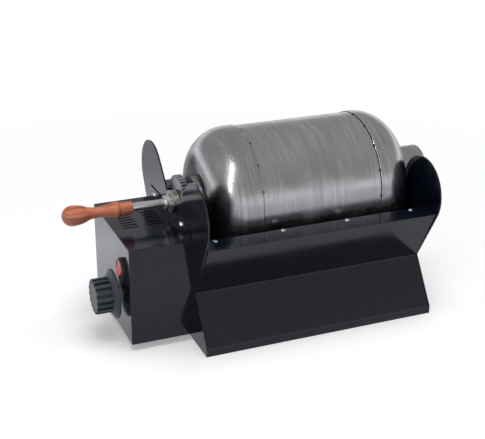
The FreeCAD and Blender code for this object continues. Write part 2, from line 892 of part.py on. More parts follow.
def gear(name, teeth, addendum, first_turn, bore, start, width, z):
    module = s.gear_module.value
    pitch = module * teeth / 2.0
    tip = pitch + addendum * module
    root_radius = pitch - 1.25 * module
    edges = []
    feet = []
    for i in range(teeth):
        turn = first_turn + 2.0 * math.pi * i / teeth
        tooth, foot_a, foot_b = tooth_edges(teeth, tip, root_radius, turn)
        feet.append((foot_a, foot_b))
        edges.append(tooth)
    outline = []
    for i in range(teeth):
        outline.extend(edges[i])
        start_foot, end_foot = feet[i][1], feet[(i + 1) % teeth][0]
        middle = (start_foot + end_foot) * 0.5
        middle = middle * (root_radius / middle.Length)
        outline.append(Part.Arc(start_foot, middle, end_foot).toShape())
    wire = Part.Wire(Part.sortEdges(outline)[0])
    blank = Part.Face(wire).extrude(FreeCAD.Vector(width, 0, 0))
    hole = Part.makeCylinder(bore, width, FreeCAD.Vector(), FreeCAD.Vector(1, 0, 0))
    thing = doc.addObject("Part::Feature", name)
    thing.Shape = blank.cut(hole)
    put(thing, x_left + start, zero, z)
    return keep(thing, name)


gear_count = int(round(s.gear_teeth.value))
pinion_count = int(round(s.pinion_teeth.value))
gear("drive_gear", gear_count, s.gear_addendum.value, -math.pi / 2.0, hub_hole.value,
     s.gear_place, s.gear_width.value, s.axis_height)
gear("drive_pinion", pinion_count, 1.0, math.pi / 2.0 + math.pi / pinion_count,
     (s.motor_shaft_radius + s.fit).value, s.gear_place - 0.5, s.gear_width.value + 1.0,
     pinion_height)


# Grooved bearing bush that drops into the left notch.
def bearing_bush():
    gap = s.running
    outer = -(gap + s.bearing_flange)
    inner = s.plate + gap
    return turned("bearing_bush", [
        (outer, hub_hole), (outer, s.bearing_flange_radius), (-gap, s.bearing_flange_radius),
        (-gap, s.bearing_body_radius), (inner, s.bearing_body_radius),
        (inner, s.bearing_flange_radius), (inner + s.bearing_inner_flange, s.bearing_flange_radius),
        (inner + s.bearing_inner_flange, hub_hole)])


bearing_outside = s.running + s.bearing_flange


def spindle_washer():
    start = -(bearing_outside + s.running + s.washer)
    end = start + s.washer
    return turned("spindle_washer", [(start, hub_hole), (start, s.washer_radius),
                                     (end, s.washer_radius), (end, hub_hole)])


def spindle_collar():
    end = -(bearing_outside + s.running + s.washer)
    start = end - s.collar_length
    soft = 0.8
    return turned("spindle_collar", [
        (start, hub_hole), (start, s.collar_radius - soft), (start + soft, s.collar_radius),
        (end, s.collar_radius), (end, hub_hole)])


bearing_bush()
spindle_washer()
spindle_collar()


# Turned wooden grip on the end of the spindle.
def wooden_grip():
    small = -s.rod_length
    end = -grip_end
    socket = small - s.grip_socket - s.fit
    step = s.grip_length / 76.0
    flare = small - step * 18.0
    waist = small - step * 48.0
    bulb = small - step * 66.0
    return turned("wooden_grip", [
        (small, hub_hole),
        (socket, hub_hole),
        (socket, zero),
        (end, zero),
        (end, s.grip_bulb_radius * 0.3, s.grip_bulb_radius * 1.02, -1),
        (bulb, s.grip_bulb_radius, s.grip_length * 0.5, -1),
        (waist, s.grip_neck_radius + 1.2, s.grip_length * 0.63, 1),
        (flare, s.grip_flare_radius, s.grip_flare_radius * 0.5, -1),
        (small - step * 14.0, s.grip_small_radius + 0.6),
        (small - step * 13.0, s.grip_small_radius + 0.6),
        (small, s.grip_small_radius),
    ])


wooden_grip()


# Control box cover: an open-bottomed shell with a flange up the end plate.
def box_cover():
    name = "box_cover"
    wall = s.box_sheet
    x_out = x_left - s.box_width
    depth = s.box_front + s.box_rear
    low = s.box_bottom + wall
    outer = block("cover_outer", s.box_width, depth, box_top - low, x_out, -s.box_front, low)
    doc.recompute()
    soft = doc.addObject("Part::Fillet", "cover_rounded")
    soft.Base = outer
    picked = []
    for i, edge in enumerate(outer.Shape.Edges):
        spots = [v.Point for v in edge.Vertexes]
        at_left = all(abs(p.x - x_out.value) < 0.01 for p in spots)
        at_top = all(abs(p.z - box_top.value) < 0.01 for p in spots)
        at_floor = all(abs(p.z - low.value) < 0.01 for p in spots)
        at_plate = all(abs(p.x - x_left.value) < 0.01 for p in spots)
        if (at_left or at_top) and not at_floor and not at_plate:
            picked.append((i + 1, s.box_corner.value, s.box_corner.value))
    soft.Edges = picked
    flange = flange_plate(x_left - wall)
    blank = joined("cover_blank", [soft, flange])
    tools = [block("cover_inner", s.box_width - wall, depth - wall * 2.0, box_top - low,
                   x_out + wall, -s.box_front + wall, low - wall)]
    tools.extend(slot_tools())
    reach = wall * 4.0
    tools.append(cylinder("cover_switch_hole", s.switch_body_radius + s.fit, reach,
                          x_out - wall, -s.switch_place, s.switch_height))
    tools.append(cylinder("cover_knob_hole", s.bushing_radius + s.fit, reach,
                          x_out - wall, -s.knob_place, s.knob_height))
    tools.append(cylinder("cover_gland_hole", s.gland_radius * 0.75 + s.fit, reach,
                          x_left - s.gland_inset, s.box_rear - wall * 2.0,
                          s.gland_height, axis="y"))
    for i, row in enumerate(flange_screw_rows):
        tools.append(cylinder("cover_screw_hole%d" % i, s.screw_radius + s.fit, reach,
                              x_left - reach / 2.0, row, flange_screw_height))
    tools.append(cylinder("cover_spindle_notch", s.flange_notch, reach,
                          x_left - reach / 2.0, zero, s.axis_height))
    return keep(cut(name, blank, joined("cover_tools", tools)), name)


def flange_plate(x):
    body = new_body("cover_flange", x)
    sketch = new_sketch(body, "YZ_Plane", "cover_flange_outline")
    top = box_top + s.flange_height
    low = box_top - s.box_sheet
    front = -s.flange_front
    corner = s.flange_corner
    add_loop(sketch, [
        (front, low), (s.box_rear, low), (s.box_rear, top),
        (front + corner, top, corner, 1), (front, top - corner)])
    pad(body, sketch, s.box_sheet)
    return body


def slot_tools():
    tools = []
    count = int(round(s.slot_count.value))
    for group, left in enumerate((s.slot_left_group, s.slot_right_group)):
        for i in range(count):
            row = s.slot_first + s.slot_pitch * i
            half = s.slot_width / 2.0
            flat = s.slot_length - s.slot_width
            name = "slot%d_%d" % (group, i)
            start = x_left - left + half
            floor = box_top - s.box_sheet * 2.0
            rise = s.box_sheet * 4.0
            middle = block(name, flat, s.slot_width, rise, start, row - half, floor)
            ends = [cylinder(name + "_end%d" % k, half, rise, start + flat * k, row, floor,
                             axis="z") for k in (0, 1)]
            tools.append(joined(name + "_shape", [middle] + ends))
    return tools


def box_base():
    return keep(block("box_base", s.box_width, s.box_front + s.box_rear, s.box_sheet,
                      x_left - s.box_width, -s.box_front, s.box_bottom), "box_base")


box_cover()
box_base()
x_face = x_left - s.box_width


# Round rocker switch in the left wall.
def switch_bezel():
    well = s.switch_well
    return turned("switch_bezel", [
        (-s.bezel_rim, s.well_radius), (-s.bezel_rim, s.bezel_radius - s.bezel_lip),
        (-s.bezel_rim + s.bezel_lip, s.bezel_radius), (zero - s.fit, s.bezel_radius),
        (zero - s.fit, s.switch_body_radius), (s.switch_body_depth, s.switch_body_radius),
        (s.switch_body_depth, zero), (well, zero), (well, s.well_radius)],
        x_face, -s.switch_place, s.switch_height)


def rocker():
    thickness = s.rocker_front + s.rocker_back
    disc = cylinder("rocker_disc", s.rocker_radius, thickness + 1.2,
                    -(s.rocker_front + 1.2), zero, zero)
    hollow = cylinder("rocker_hollow_tool", s.rocker_hollow, s.rocker_radius * 4.0,
                      -(s.rocker_front + s.rocker_hollow), -(s.rocker_radius * 2.0), zero,
                      axis="y")
    thing = cut("rocker", disc, hollow)
    thing.Placement = FreeCAD.Placement(
        FreeCAD.Vector(), FreeCAD.Rotation(FreeCAD.Vector(0, 1, 0), s.rocker_tilt.value))
    bind(thing, "Placement.Rotation.Angle", s.rocker_tilt)
    put(thing, x_face, -s.switch_place, s.switch_height)
    return keep(thing, "rocker")


switch_bezel()
rocker()


# Fluted thermostat knob with a skirt, its cap and its shaft.
def knob():
    name = "knob"
    back = -s.skirt_gap
    rim = back - s.skirt_rim
    neck = rim - s.skirt_slope
    front = neck - s.knob_depth
    recess = back - 3.0
    soft = 1.0
    body = new_body(name, x_face, -s.knob_place, s.knob_height)
    sketch = new_sketch(body, "XZ_Plane", name + "_profile")
    bore = s.knob_shaft_radius + s.fit
    hollow = s.bushing_radius * 2.4
    blind = front + 4.0
    add_loop(sketch, [
        (recess, bore), (recess, hollow), (back, hollow), (back, s.skirt_radius),
        (rim, s.skirt_radius), (neck, s.knob_radius + 1.0), (neck, s.knob_radius),
        (front + soft, s.knob_radius), (front, s.knob_radius - soft), (front, s.cap_radius),
        (front + s.cap_recess, s.cap_radius), (front + s.cap_recess, zero),
        (blind, zero), (blind, bore)])
    feature = body.newObject("PartDesign::Revolution", name + "_turn")
    feature.Profile = sketch
    feature.ReferenceAxis = (sketch, ["H_Axis"])
    feature.Angle = 360
    grooves = new_sketch(body, "YZ_Plane", name + "_groove", neck)
    half = s.flute_width / 2.0
    add_loop(grooves, [(-half, s.knob_radius - s.flute_depth),
                       (half, s.knob_radius - s.flute_depth),
                       (half, s.knob_radius + 2.0), (-half, s.knob_radius + 2.0)])
    tool = pocket(body, grooves, s.knob_depth + 1.0)
    polar = body.newObject("PartDesign::PolarPattern", name + "_flutes")
    polar.Originals = [tool]
    polar.Axis = (grooves, ["N_Axis"])
    polar.Angle = 360
    bind(polar, "Occurrences", s.flute_count)
    body.Tip = polar
    return keep(body, name)


def knob_cap():
    front = -(s.skirt_gap + s.skirt_rim + s.skirt_slope + s.knob_depth)
    floor = front + s.cap_recess - 0.05
    radius = s.cap_radius - s.fit
    return turned("knob_cap", [(floor - s.cap_sheet, zero), (floor, zero), (floor, radius),
                               (floor - s.cap_sheet, radius)],
                  x_face, -s.knob_place, s.knob_height)


def knob_shaft():
    front = -(s.skirt_gap + s.skirt_rim + s.skirt_slope + s.knob_depth)
    start = front + 4.0 + s.fit
    end = as_size(10.0)
    return turned("knob_shaft", [(start, zero), (end, zero), (end, s.knob_shaft_radius),
                                 (start, s.knob_shaft_radius)],
                  x_face, -s.knob_place, s.knob_height)


def thermostat():
    # The case stands behind the wall and its threaded bushing passes through.
    name = "thermostat"
    half = s.thermostat_width / 2.0
    case = block("thermostat_case", s.thermostat_depth, s.thermostat_width,
                 s.thermostat_width, x_face + s.box_sheet, -(s.knob_place + half),
                 s.knob_height - half)
    bushing = cylinder("thermostat_bushing", s.bushing_radius, s.box_sheet + 2.4,
                       x_face - 2.4, -s.knob_place, s.knob_height)
    bore = cylinder("thermostat_bore", s.knob_shaft_radius + s.fit, 14.0,
                    x_face - 3.0, -s.knob_place, s.knob_height)
    return keep(cut(name, joined("thermostat_blank", [case, bushing]), bore), name)


def thermostat_nut():
    name = "thermostat_nut"
    body = new_body(name, x_face - 2.0, -s.knob_place, s.knob_height)
    sketch = new_sketch(body, "YZ_Plane", name + "_hex")
    across = s.bushing_radius * 1.7
    corners = []
    for i in range(6):
        angle = math.radians(60.0 * i)
        corners.append((across * math.cos(angle), across * math.sin(angle)))
    add_loop(sketch, corners)
    add_circle(sketch, zero, zero, s.bushing_radius + s.fit)
    pad(body, sketch, 1.9)
    return keep(body, name)


knob()
knob_cap()
knob_shaft()
thermostat()
thermostat_nut()


# Gear motor on the left end plate, with its shaft through the plate.
def gear_case():
    name = "gear_case"
    case = cylinder("case_drum", s.gearcase_radius, s.gearcase_depth,
                    x_left - s.gearcase_depth, zero, motor_height)
    reach = s.motor_screw_reach + s.motor_ear_end
    ears = block("case_ears", s.motor_ear, reach * 2.0, s.motor_ear_width,
                 x_left - s.motor_ear, -reach, motor_height - s.motor_ear_width / 2.0)
    boss = cylinder("case_boss", s.motor_boss, s.plate, x_left, zero, pinion_height)
    tools = [cylinder("case_bore", s.motor_shaft_radius + s.fit,
                      s.shaft_tail + s.fit + s.plate * 2.0,
                      x_left - s.shaft_tail - s.fit, zero, pinion_height)]
    for side in (-1, 1):
        tools.append(cylinder("case_hole%d" % (side + 1), s.screw_radius + s.fit,
                              s.motor_ear * 3.0, x_left - s.motor_ear * 2.0,
                              s.motor_screw_reach * side, motor_height))
    return keep(cut(name, joined("case_blank", [case, ears, boss]),
                    joined("case_tools", tools)), name)


def motor_can():
    start = -(s.gearcase_depth + s.motor_depth)
    soft = s.motor_soft_edge
    return turned("motor_can", [
        (start, zero), (-s.gearcase_depth, zero), (-s.gearcase_depth, s.motor_radius),
        (start + soft, s.motor_radius), (start, s.motor_radius - soft)], z=motor_height)


def motor_shaft():
    end = s.gear_place + s.gear_width + s.shaft_nose
    return turned("motor_shaft", [(-s.shaft_tail, zero), (end, zero),
                                  (end, s.motor_shaft_radius),
                                  (-s.shaft_tail, s.motor_shaft_radius)], z=pinion_height)


gear_case()
motor_can()
motor_shaft()
screw_group("motor_screws", [(x_left - s.motor_ear, s.motor_screw_reach * side, motor_height)
                             for side in (-1, 1)], "x", -1)


# Wiring pieces: the terminal block on the base and the gland in the rear wall.
def terminal_block():
    name = "terminal_block"
    start = x_left - s.box_sheet - s.terminal_gap - s.terminal_length
    row = s.box_rear - s.terminal_inset
    floor = s.box_bottom + s.box_sheet
    base = block("terminal_base", s.terminal_length, s.terminal_width, s.terminal_height,
                 start, row, floor)
    wells = [cylinder("terminal_well%d" % i, s.terminal_well_radius, s.terminal_well * 2.0,
                      start + s.terminal_length * part, row + s.terminal_width * 0.3,
                      floor + s.terminal_height - s.terminal_well, axis="z")
             for i, part in enumerate((0.14, 0.38, 0.62, 0.86))]
    return keep(cut(name, base, joined("terminal_wells", wells)), name)


def cable_gland():
    name = "cable_gland"
    x = x_left - s.gland_inset
    wall = s.box_sheet
    neck = s.gland_radius * 0.75
    collar = cylinder("gland_collar", s.gland_radius, 3.0, x, s.box_rear, s.gland_height, axis="y")
    nose = doc.addObject("Part::Cone", "gland_nose")
    bind(nose, "Radius1", s.gland_radius * 0.85)
    bind(nose, "Radius2", s.gland_radius * 0.6)
    bind(nose, "Height", s.gland_length - 3.0)
    nose.Placement = FreeCAD.Placement(FreeCAD.Vector(),
                                       FreeCAD.Rotation(FreeCAD.Vector(1, 0, 0), -90))
    put(nose, x, s.box_rear + 3.0, s.gland_height)
    stem = cylinder("gland_stem", neck, wall + 8.0, x, s.box_rear - wall - 8.0,
                    s.gland_height, axis="y")
    nut = cylinder("gland_nut", s.gland_radius, 4.0, x, s.box_rear - wall - 4.0,
                   s.gland_height, axis="y")
    bore = cylinder("gland_bore", s.gland_bore, s.gland_length + wall + 12.0, x,
                    s.box_rear - wall - 10.0, s.gland_height, axis="y")
    return keep(cut(name, joined("gland_blank", [collar, nose, stem, nut]), bore), name)


terminal_block()
cable_gland()


# Every piece is checked before any file is written.
doc.recompute()
for thing in doc.Objects:
    if "Invalid" in thing.State or "Error" in thing.State:
        raise RuntimeError("failed feature: " + thing.Label)
for thing in parts:
    if thing.Shape.isNull() or not thing.Shape.isValid() or not thing.Shape.Solids:
        raise RuntimeError("bad shape: " + thing.Label)

os.makedirs("parts", exist_ok=True)
for thing in parts:
    thing.Shape.exportStep("parts/" + thing.Label + ".step")
    print(thing.Label, len(thing.Shape.Solids), round(thing.Shape.Volume, 1))
print("parts written:", len(parts))
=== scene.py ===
import json
import math

import bmesh
import bpy
from mathutils import Matrix, Vector


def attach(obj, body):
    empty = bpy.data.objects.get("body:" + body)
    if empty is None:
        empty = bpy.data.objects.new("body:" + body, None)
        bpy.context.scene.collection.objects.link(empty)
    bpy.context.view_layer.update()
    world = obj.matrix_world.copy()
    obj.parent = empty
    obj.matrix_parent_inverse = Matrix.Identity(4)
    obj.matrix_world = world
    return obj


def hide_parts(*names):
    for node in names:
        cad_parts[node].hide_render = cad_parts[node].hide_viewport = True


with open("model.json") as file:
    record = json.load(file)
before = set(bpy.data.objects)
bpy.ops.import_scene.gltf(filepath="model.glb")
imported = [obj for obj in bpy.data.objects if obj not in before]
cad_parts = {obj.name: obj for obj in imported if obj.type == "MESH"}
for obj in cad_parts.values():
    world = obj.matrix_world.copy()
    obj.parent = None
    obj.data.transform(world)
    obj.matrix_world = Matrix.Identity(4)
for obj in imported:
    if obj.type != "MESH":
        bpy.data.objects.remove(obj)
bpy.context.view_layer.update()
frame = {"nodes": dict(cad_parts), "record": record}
print("frame loaded")

mm = 0.001
plateFace = -91.0
axisHeight = 139.0


# Node groups for effects that several materials share.
def newGroup(name, inputs, outputs):
    group = bpy.data.node_groups.new(name, "ShaderNodeTree")
    for label, value in inputs.items():
        socket = group.interface.new_socket(label, in_out="INPUT",
                                            socket_type="NodeSocketFloat")
        socket.default_value = value
    for label in outputs:
        group.interface.new_socket(label, in_out="OUTPUT", socket_type="NodeSocketFloat")
    return group, group.nodes.new("NodeGroupInput"), group.nodes.new("NodeGroupOutput")


def addNode(tree, kind, inputs=None, **settings):
    node = tree.nodes.new(kind)
    for key, value in settings.items():
        setattr(node, key, value)
    for key, value in (inputs or {}).items():
        if isinstance(value, bpy.types.NodeSocket):
            tree.links.new(value, node.inputs[key])
        else:
            node.inputs[key].default_value = value
    return node


def scaledCoords(tree, scale, place):
    coords = addNode(tree, "ShaderNodeTexCoord")
    mapping = addNode(tree, "ShaderNodeMapping",
                      {"Vector": coords.outputs["Object"], "Scale": scale, "Location": place})
    return mapping.outputs["Vector"]


def noise(tree, scale, detail, rough, size=1.0, place=(0.0, 0.0, 0.0)):
    vector = scaledCoords(tree, scale, place)
    node = addNode(tree, "ShaderNodeTexNoise",
                   {"Vector": vector, "Scale": size, "Detail": detail, "Roughness": rough})
    return node.outputs["Fac"]


def remap(tree, value, low, high, newLow, newHigh):
    node = addNode(tree, "ShaderNodeMapRange",
                   {"Value": value, "From Min": low, "From Max": high,
                    "To Min": newLow, "To Max": newHigh})
    return node.outputs["Result"]


def mixColours(tree, factor, first, second):
    node = tree.nodes.new("ShaderNodeMix")
    node.data_type = "RGBA"
    sockets = [(node.inputs[0], factor), (node.inputs[6], first), (node.inputs[7], second)]
    for socket, value in sockets:
        if isinstance(value, bpy.types.NodeSocket):
            tree.links.new(value, socket)
        elif socket.type == "RGBA":
            socket.default_value = (*value, 1.0)
        else:
            socket.default_value = value
    return node.outputs[2]


def colourRamp(tree, value, stops):
    node = addNode(tree, "ShaderNodeValToRGB", {"Fac": value})
    elements = node.color_ramp.elements
    for element, (place, colour) in zip(elements, (stops[0], stops[-1])):
        element.position, element.color = place, (*colour, 1.0)
    for place, colour in stops[1:-1]:
        elements.new(place).color = (*colour, 1.0)
    return node.outputs["Color"]


def wearGroup():
    group, entry, exitNode = newGroup("surfaceWear", {"Size": 1.0, "Dust Amount": 1.0},
                                      ["Blotch", "Dust", "Scratch"])
    size = entry.outputs["Size"]
    blotch = noise(group, (14.0, 14.0, 14.0), 4.0, 0.55, size)
    specks = noise(group, (900.0, 900.0, 900.0), 2.0, 0.5, size)
    dust = remap(group, specks, 0.68, 0.82, 0.0, entry.outputs["Dust Amount"])
    lines = noise(group, (60.0, 700.0, 240.0), 3.0, 0.6, size)
    scratch = remap(group, lines, 0.66, 0.8, 0.0, 1.0)
    group.links.new(blotch, exitNode.inputs["Blotch"])
    group.links.new(dust, exitNode.inputs["Dust"])
    group.links.new(scratch, exitNode.inputs["Scratch"])
    return group


def brushGroup():
    # Lines that run round the drum's axis, with patches along it.
    group, entry, exitNode = newGroup("brushLines", {"Size": 1.0}, ["Fine", "Broad", "Patch"])
    size = entry.outputs["Size"]
    fine = noise(group, (2600.0, 40.0, 40.0), 3.0, 0.65, size)
    broad = noise(group, (420.0, 22.0, 22.0), 3.0, 0.5, size)
    patch = noise(group, (26.0, 20.0, 20.0), 5.0, 0.62, size, (0.4, 0.1, 0.7))
    group.links.new(fine, exitNode.inputs["Fine"])
    group.links.new(broad, exitNode.inputs["Broad"])
    group.links.new(patch, exitNode.inputs["Patch"])
    return group


wear = wearGroup()
brush = brushGroup()


def useWear(tree, size=1.0, dust=1.0):
    node = tree.nodes.new("ShaderNodeGroup")
    node.node_tree = wear
    node.inputs["Size"].default_value = size
    node.inputs["Dust Amount"].default_value = dust
    return node.outputs


def useBrush(tree, size):
    node = tree.nodes.new("ShaderNodeGroup")
    node.node_tree = brush
    node.inputs["Size"].default_value = size
    return node.outputs


def newMaterial(name, values):
    material = bpy.data.materials.new(name)
    material.use_nodes = True
    tree = material.node_tree
    shader = tree.nodes["Principled BSDF"]
    for key, value in values.items():
        shader.inputs[key].default_value = (*value, 1.0) if isinstance(value, tuple) else value
    return material, tree, shader


def bump(tree, shader, height, strength, distance):
    node = addNode(tree, "ShaderNodeBump",
                   {"Height": height, "Strength": strength, "Distance": distance})
    tree.links.new(node.outputs["Normal"], shader.inputs["Normal"])


enamelFinish = {"deep": (0.002, 0.0028, 0.0068), "dusty": (0.005, 0.006, 0.011),
                "smooth": 0.1, "dull": 0.16, "ior": 1.53, "dust": 1.0}


def enamelMaterial(finish):
    material, tree, shader = newMaterial("glossEnamel", {
        "Base Color": finish["deep"], "IOR": finish["ior"]})
    marks = useWear(tree, dust=finish["dust"])
    colour = mixColours(tree, marks["Dust"], finish["deep"], finish["dusty"])
    tree.links.new(colour, shader.inputs["Base Color"])
    rough = remap(tree, marks["Blotch"], 0.3, 0.7, finish["smooth"], finish["dull"])
    tree.links.new(rough, shader.inputs["Roughness"])
    peel = noise(tree, (260.0, 260.0, 260.0), 2.0, 0.5)
    bump(tree, shader, peel, 0.05, 0.0004)
    return material


# Brushed and turned steel: its tones, how rough it gets, and how deep and wide apart its
# lines are (a larger size sets them closer).
steels = {
    "drumSteel": {"dark": (0.39, 0.39, 0.394), "light": (0.56, 0.56, 0.564), "smooth": 0.19,
                  "dull": 0.38, "relief": 0.08, "turning": 0.4,
                  "size": 1.0},
    "domeSteel": {"dark": (0.35, 0.35, 0.354), "light": (0.56, 0.56, 0.564), "smooth": 0.21,
                  "dull": 0.34, "relief": 0.05, "turning": 0.35,
                  "size": 1.0},
    "turnedSteel": {"dark": (0.62, 0.61, 0.6), "light": (0.84, 0.83, 0.82), "smooth": 0.24,
                    "dull": 0.34, "relief": 0.1, "turning": 0.55,
                    "size": 1.0},
}


def steelMaterial(name):
    finish = steels[name]
    dark, light = finish["dark"], finish["light"]
    material, tree, shader = newMaterial(name, {
        "Metallic": 1.0, "Anisotropic": finish["turning"], "Base Color": light})
    lines = useBrush(tree, finish["size"])
    broad = remap(tree, lines["Broad"], 0.32, 0.68, 0.0, 1.0)
    colour = mixColours(tree, broad, dark, light)
    patch = remap(tree, lines["Patch"], 0.38, 0.64, 0.0, 0.8)
    colour = mixColours(tree, patch, colour, dark)
    tree.links.new(colour, shader.inputs["Base Color"])
    rough = remap(tree, lines["Patch"], 0.3, 0.7, finish["dull"], finish["smooth"])
    tree.links.new(rough, shader.inputs["Roughness"])
    tangent = addNode(tree, "ShaderNodeTangent", direction_type="RADIAL", axis="X")
    tree.links.new(tangent.outputs["Tangent"], shader.inputs["Tangent"])
    bump(tree, shader, lines["Fine"], finish["relief"], 0.00006)
    return material


def plainMetal(name, colour, rough, turning=0.0):
    material, tree, shader = newMaterial(name, {
        "Metallic": 1.0, "Base Color": colour, "Anisotropic": turning})
    marks = useWear(tree)
    tree.links.new(remap(tree, marks["Blotch"], 0.3, 0.7, rough * 0.8, rough * 1.3),
                   shader.inputs["Roughness"])
    bump(tree, shader, marks["Scratch"], 0.08, 0.0001)
    return material


def plasticMaterial(name, colour, rough, grain=0.06, coat=0.0):
    material, tree, shader = newMaterial(name, {
        "Base Color": colour, "Coat Weight": coat, "Coat Roughness": 0.08})
    marks = useWear(tree)
    paler = tuple(min(1.0, c * 1.25 + 0.006) for c in colour)
    tree.links.new(mixColours(tree, marks["Dust"], colour, paler), shader.inputs["Base Color"])
    tree.links.new(remap(tree, marks["Blotch"], 0.3, 0.7, rough * 0.85, rough * 1.2),
                   shader.inputs["Roughness"])
    pits = noise(tree, (1500.0, 1500.0, 1500.0), 2.0, 0.5)
    bump(tree, shader, pits, grain, 0.0002)
    return material


woodFinish = {"dark": (0.16, 0.042, 0.02), "light": (0.36, 0.112, 0.055),
              "pores": (0.1, 0.028, 0.014)}


def woodMaterial(finish):
    material, tree, shader = newMaterial("turnedWood", {
        "Roughness": 0.45, "Coat Weight": 0.12, "Coat Roughness": 0.3})
    warp = noise(tree, (16.0, 60.0, 60.0), 3.0, 0.5)
    coords = addNode(tree, "ShaderNodeTexCoord")
    parts = addNode(tree, "ShaderNodeSeparateXYZ", {"Vector": coords.outputs["Object"]})
    shift = addNode(tree, "ShaderNodeMath", {0: warp, 1: 0.012}, operation="MULTIPLY")
    height = addNode(tree, "ShaderNodeMath", {0: parts.outputs["Z"], 1: shift.outputs[0]},
                     operation="ADD")
    moved = addNode(tree, "ShaderNodeCombineXYZ",
                    {"X": parts.outputs["X"], "Y": parts.outputs["Y"], "Z": height.outputs[0]})
    stretch = addNode(tree, "ShaderNodeMapping",
                      {"Vector": moved.outputs["Vector"], "Scale": (10.0, 150.0, 420.0)})
    rings = addNode(tree, "ShaderNodeTexNoise",
                    {"Vector": stretch.outputs["Vector"], "Scale": 1.0, "Detail": 4.0,
                     "Roughness": 0.6})
    bands = remap(tree, rings.outputs["Fac"], 0.34, 0.66, 0.0, 1.0)
    fibre = noise(tree, (60.0, 1800.0, 1800.0), 3.0, 0.6)
    colour = mixColours(tree, bands, finish["dark"], finish["light"])
    pores = remap(tree, fibre, 0.58, 0.74, 0.0, 0.5)
    colour = mixColours(tree, pores, colour, finish["pores"])
    tree.links.new(colour, shader.inputs["Base Color"])
    tree.links.new(remap(tree, bands, 0.0, 1.0, 0.5, 0.36), shader.inputs["Roughness"])
    bump(tree, shader, fibre, 0.14, 0.0002)
    return material


def paintMaterial(name, colour, rough):
    material, tree, shader = newMaterial(name, {"Base Color": colour})
    marks = useWear(tree)
    tree.links.new(remap(tree, marks["Blotch"], 0.3, 0.7, rough * 0.9, rough * 1.1),
                   shader.inputs["Roughness"])
    return material


def rockerMaterial():
    material, tree, shader = newMaterial("rockerRed", {
        "Base Color": (0.5, 0.01, 0.02), "Roughness": 0.34, "Transmission Weight": 0.1,
        "Specular IOR Level": 0.3})
    marks = useWear(tree)
    colour = mixColours(tree, marks["Blotch"], (0.36, 0.006, 0.016), (0.5, 0.012, 0.026))
    tree.links.new(colour, shader.inputs["Base Color"])
    return material


enamel = enamelMaterial(enamelFinish)
drumSteel = steelMaterial("drumSteel")
domeSteel = steelMaterial("domeSteel")
turnedSteel = steelMaterial("turnedSteel")
# Lighter steel for the dome lips: a painted highlight where the lifted lip catches the light.
seamHighlightSteel = plainMetal("seamHighlightSteel", (0.82, 0.82, 0.84), 0.16)
# Dark steel for the real tack weld spots, and also for the painted shadow ring beside each seam.
weldAndGapShadeSteel = plainMetal("tackMarks", (0.07, 0.062, 0.055), 0.5)
zinc = plainMetal("brightZinc", (0.78, 0.78, 0.8), 0.2)
traySteel = plainMetal("traySteel", (0.6, 0.6, 0.59), 0.36)
sheath = plainMetal("heaterSheath", (0.16, 0.15, 0.14), 0.48)
brass = plainMetal("brass", (0.68, 0.48, 0.2), 0.28)
gearSteel = plainMetal("gearSteel", (0.34, 0.34, 0.35), 0.34)
bronze = plainMetal("bearingBronze", (0.5, 0.46, 0.42), 0.32, 0.4)
motorSteel = plainMetal("motorSteel", (0.5, 0.5, 0.5), 0.36)
ceramic = plasticMaterial("ceramic", (0.76, 0.72, 0.64), 0.5)
wood = woodMaterial(woodFinish)
knobPlastic = plasticMaterial("knobPlastic", (0.017, 0.022, 0.03), 0.4, 0.08)
capPlastic = plasticMaterial("capPlastic", (0.05, 0.055, 0.065), 0.42, 0.04)
bezelPlastic = plasticMaterial("bezelPlastic", (0.012, 0.013, 0.016), 0.24, 0.03, 0.2)
nylon = plasticMaterial("nylon", (0.02, 0.02, 0.021), 0.5)
terminalWhite = plasticMaterial("terminalWhite", (0.74, 0.74, 0.7), 0.45)
whitePaint = paintMaterial("whitePaint", (0.78, 0.79, 0.8), 0.5)
rockerRed = rockerMaterial()
print("materials made")


# Mesh helpers. Sizes are given in millimetres.
def cadMesh(node):
    source = frame["nodes"][node]
    bm = bmesh.new()
    bm.from_mesh(source.data)
    bm.transform(source.matrix_world)
    bmesh.ops.remove_doubles(bm, verts=bm.verts, dist=0.000002)
    return bm


def newPiece(name, bm, material, body, smooth=32.0, replaced=()):
    bmesh.ops.recalc_face_normals(bm, faces=bm.faces)
    mesh = bpy.data.meshes.new(name)
    bm.to_mesh(mesh)
    bm.free()
    for polygon in mesh.polygons:
        polygon.use_smooth = True
    mesh.set_sharp_from_angle(angle=math.radians(smooth))
    piece = bpy.data.objects.new(name, mesh)
    bpy.context.collection.objects.link(piece)
    mesh.materials.append(material)
    weights = piece.modifiers.new("faceWeights", "WEIGHTED_NORMAL")
    weights.keep_sharp = True
    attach(piece, body)
    if replaced:
        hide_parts(*replaced)


def bevelSharp(bm, width, segments=2, angle=28.0):
    edges = [edge for edge in bm.edges
             if len(edge.link_faces) == 2 and edge.calc_face_angle(0.0) > math.radians(angle)]
    bmesh.ops.bevel(bm, geom=edges, offset=width * mm, offset_type="OFFSET",
                    affect="EDGES", segments=segments, profile=0.5, material=-1,
                    clamp_overlap=True)


def dress(node, material, body, edge, out):
    # A CAD node again, with its flat faces joined and its edges rounded.
    bm = cadMesh(node)
    bmesh.ops.translate(bm, verts=bm.verts, vec=(-out * mm, 0.0, 0.0))
    bmesh.ops.dissolve_limit(bm, angle_limit=math.radians(0.4), verts=bm.verts,
                             edges=bm.edges)
    if edge:
        bevelSharp(bm, edge)
    newPiece(node + "Look", bm, material, body, replaced=(node,))


def pushAlongX(bm, faces, distance):
    pushed = bmesh.ops.extrude_face_region(bm, geom=faces)
    moved = [item for item in pushed["geom"] if isinstance(item, bmesh.types.BMVert)]
    bmesh.ops.translate(bm, verts=moved, vec=(distance * mm, 0.0, 0.0))
    bmesh.ops.recalc_face_normals(bm, faces=bm.faces)


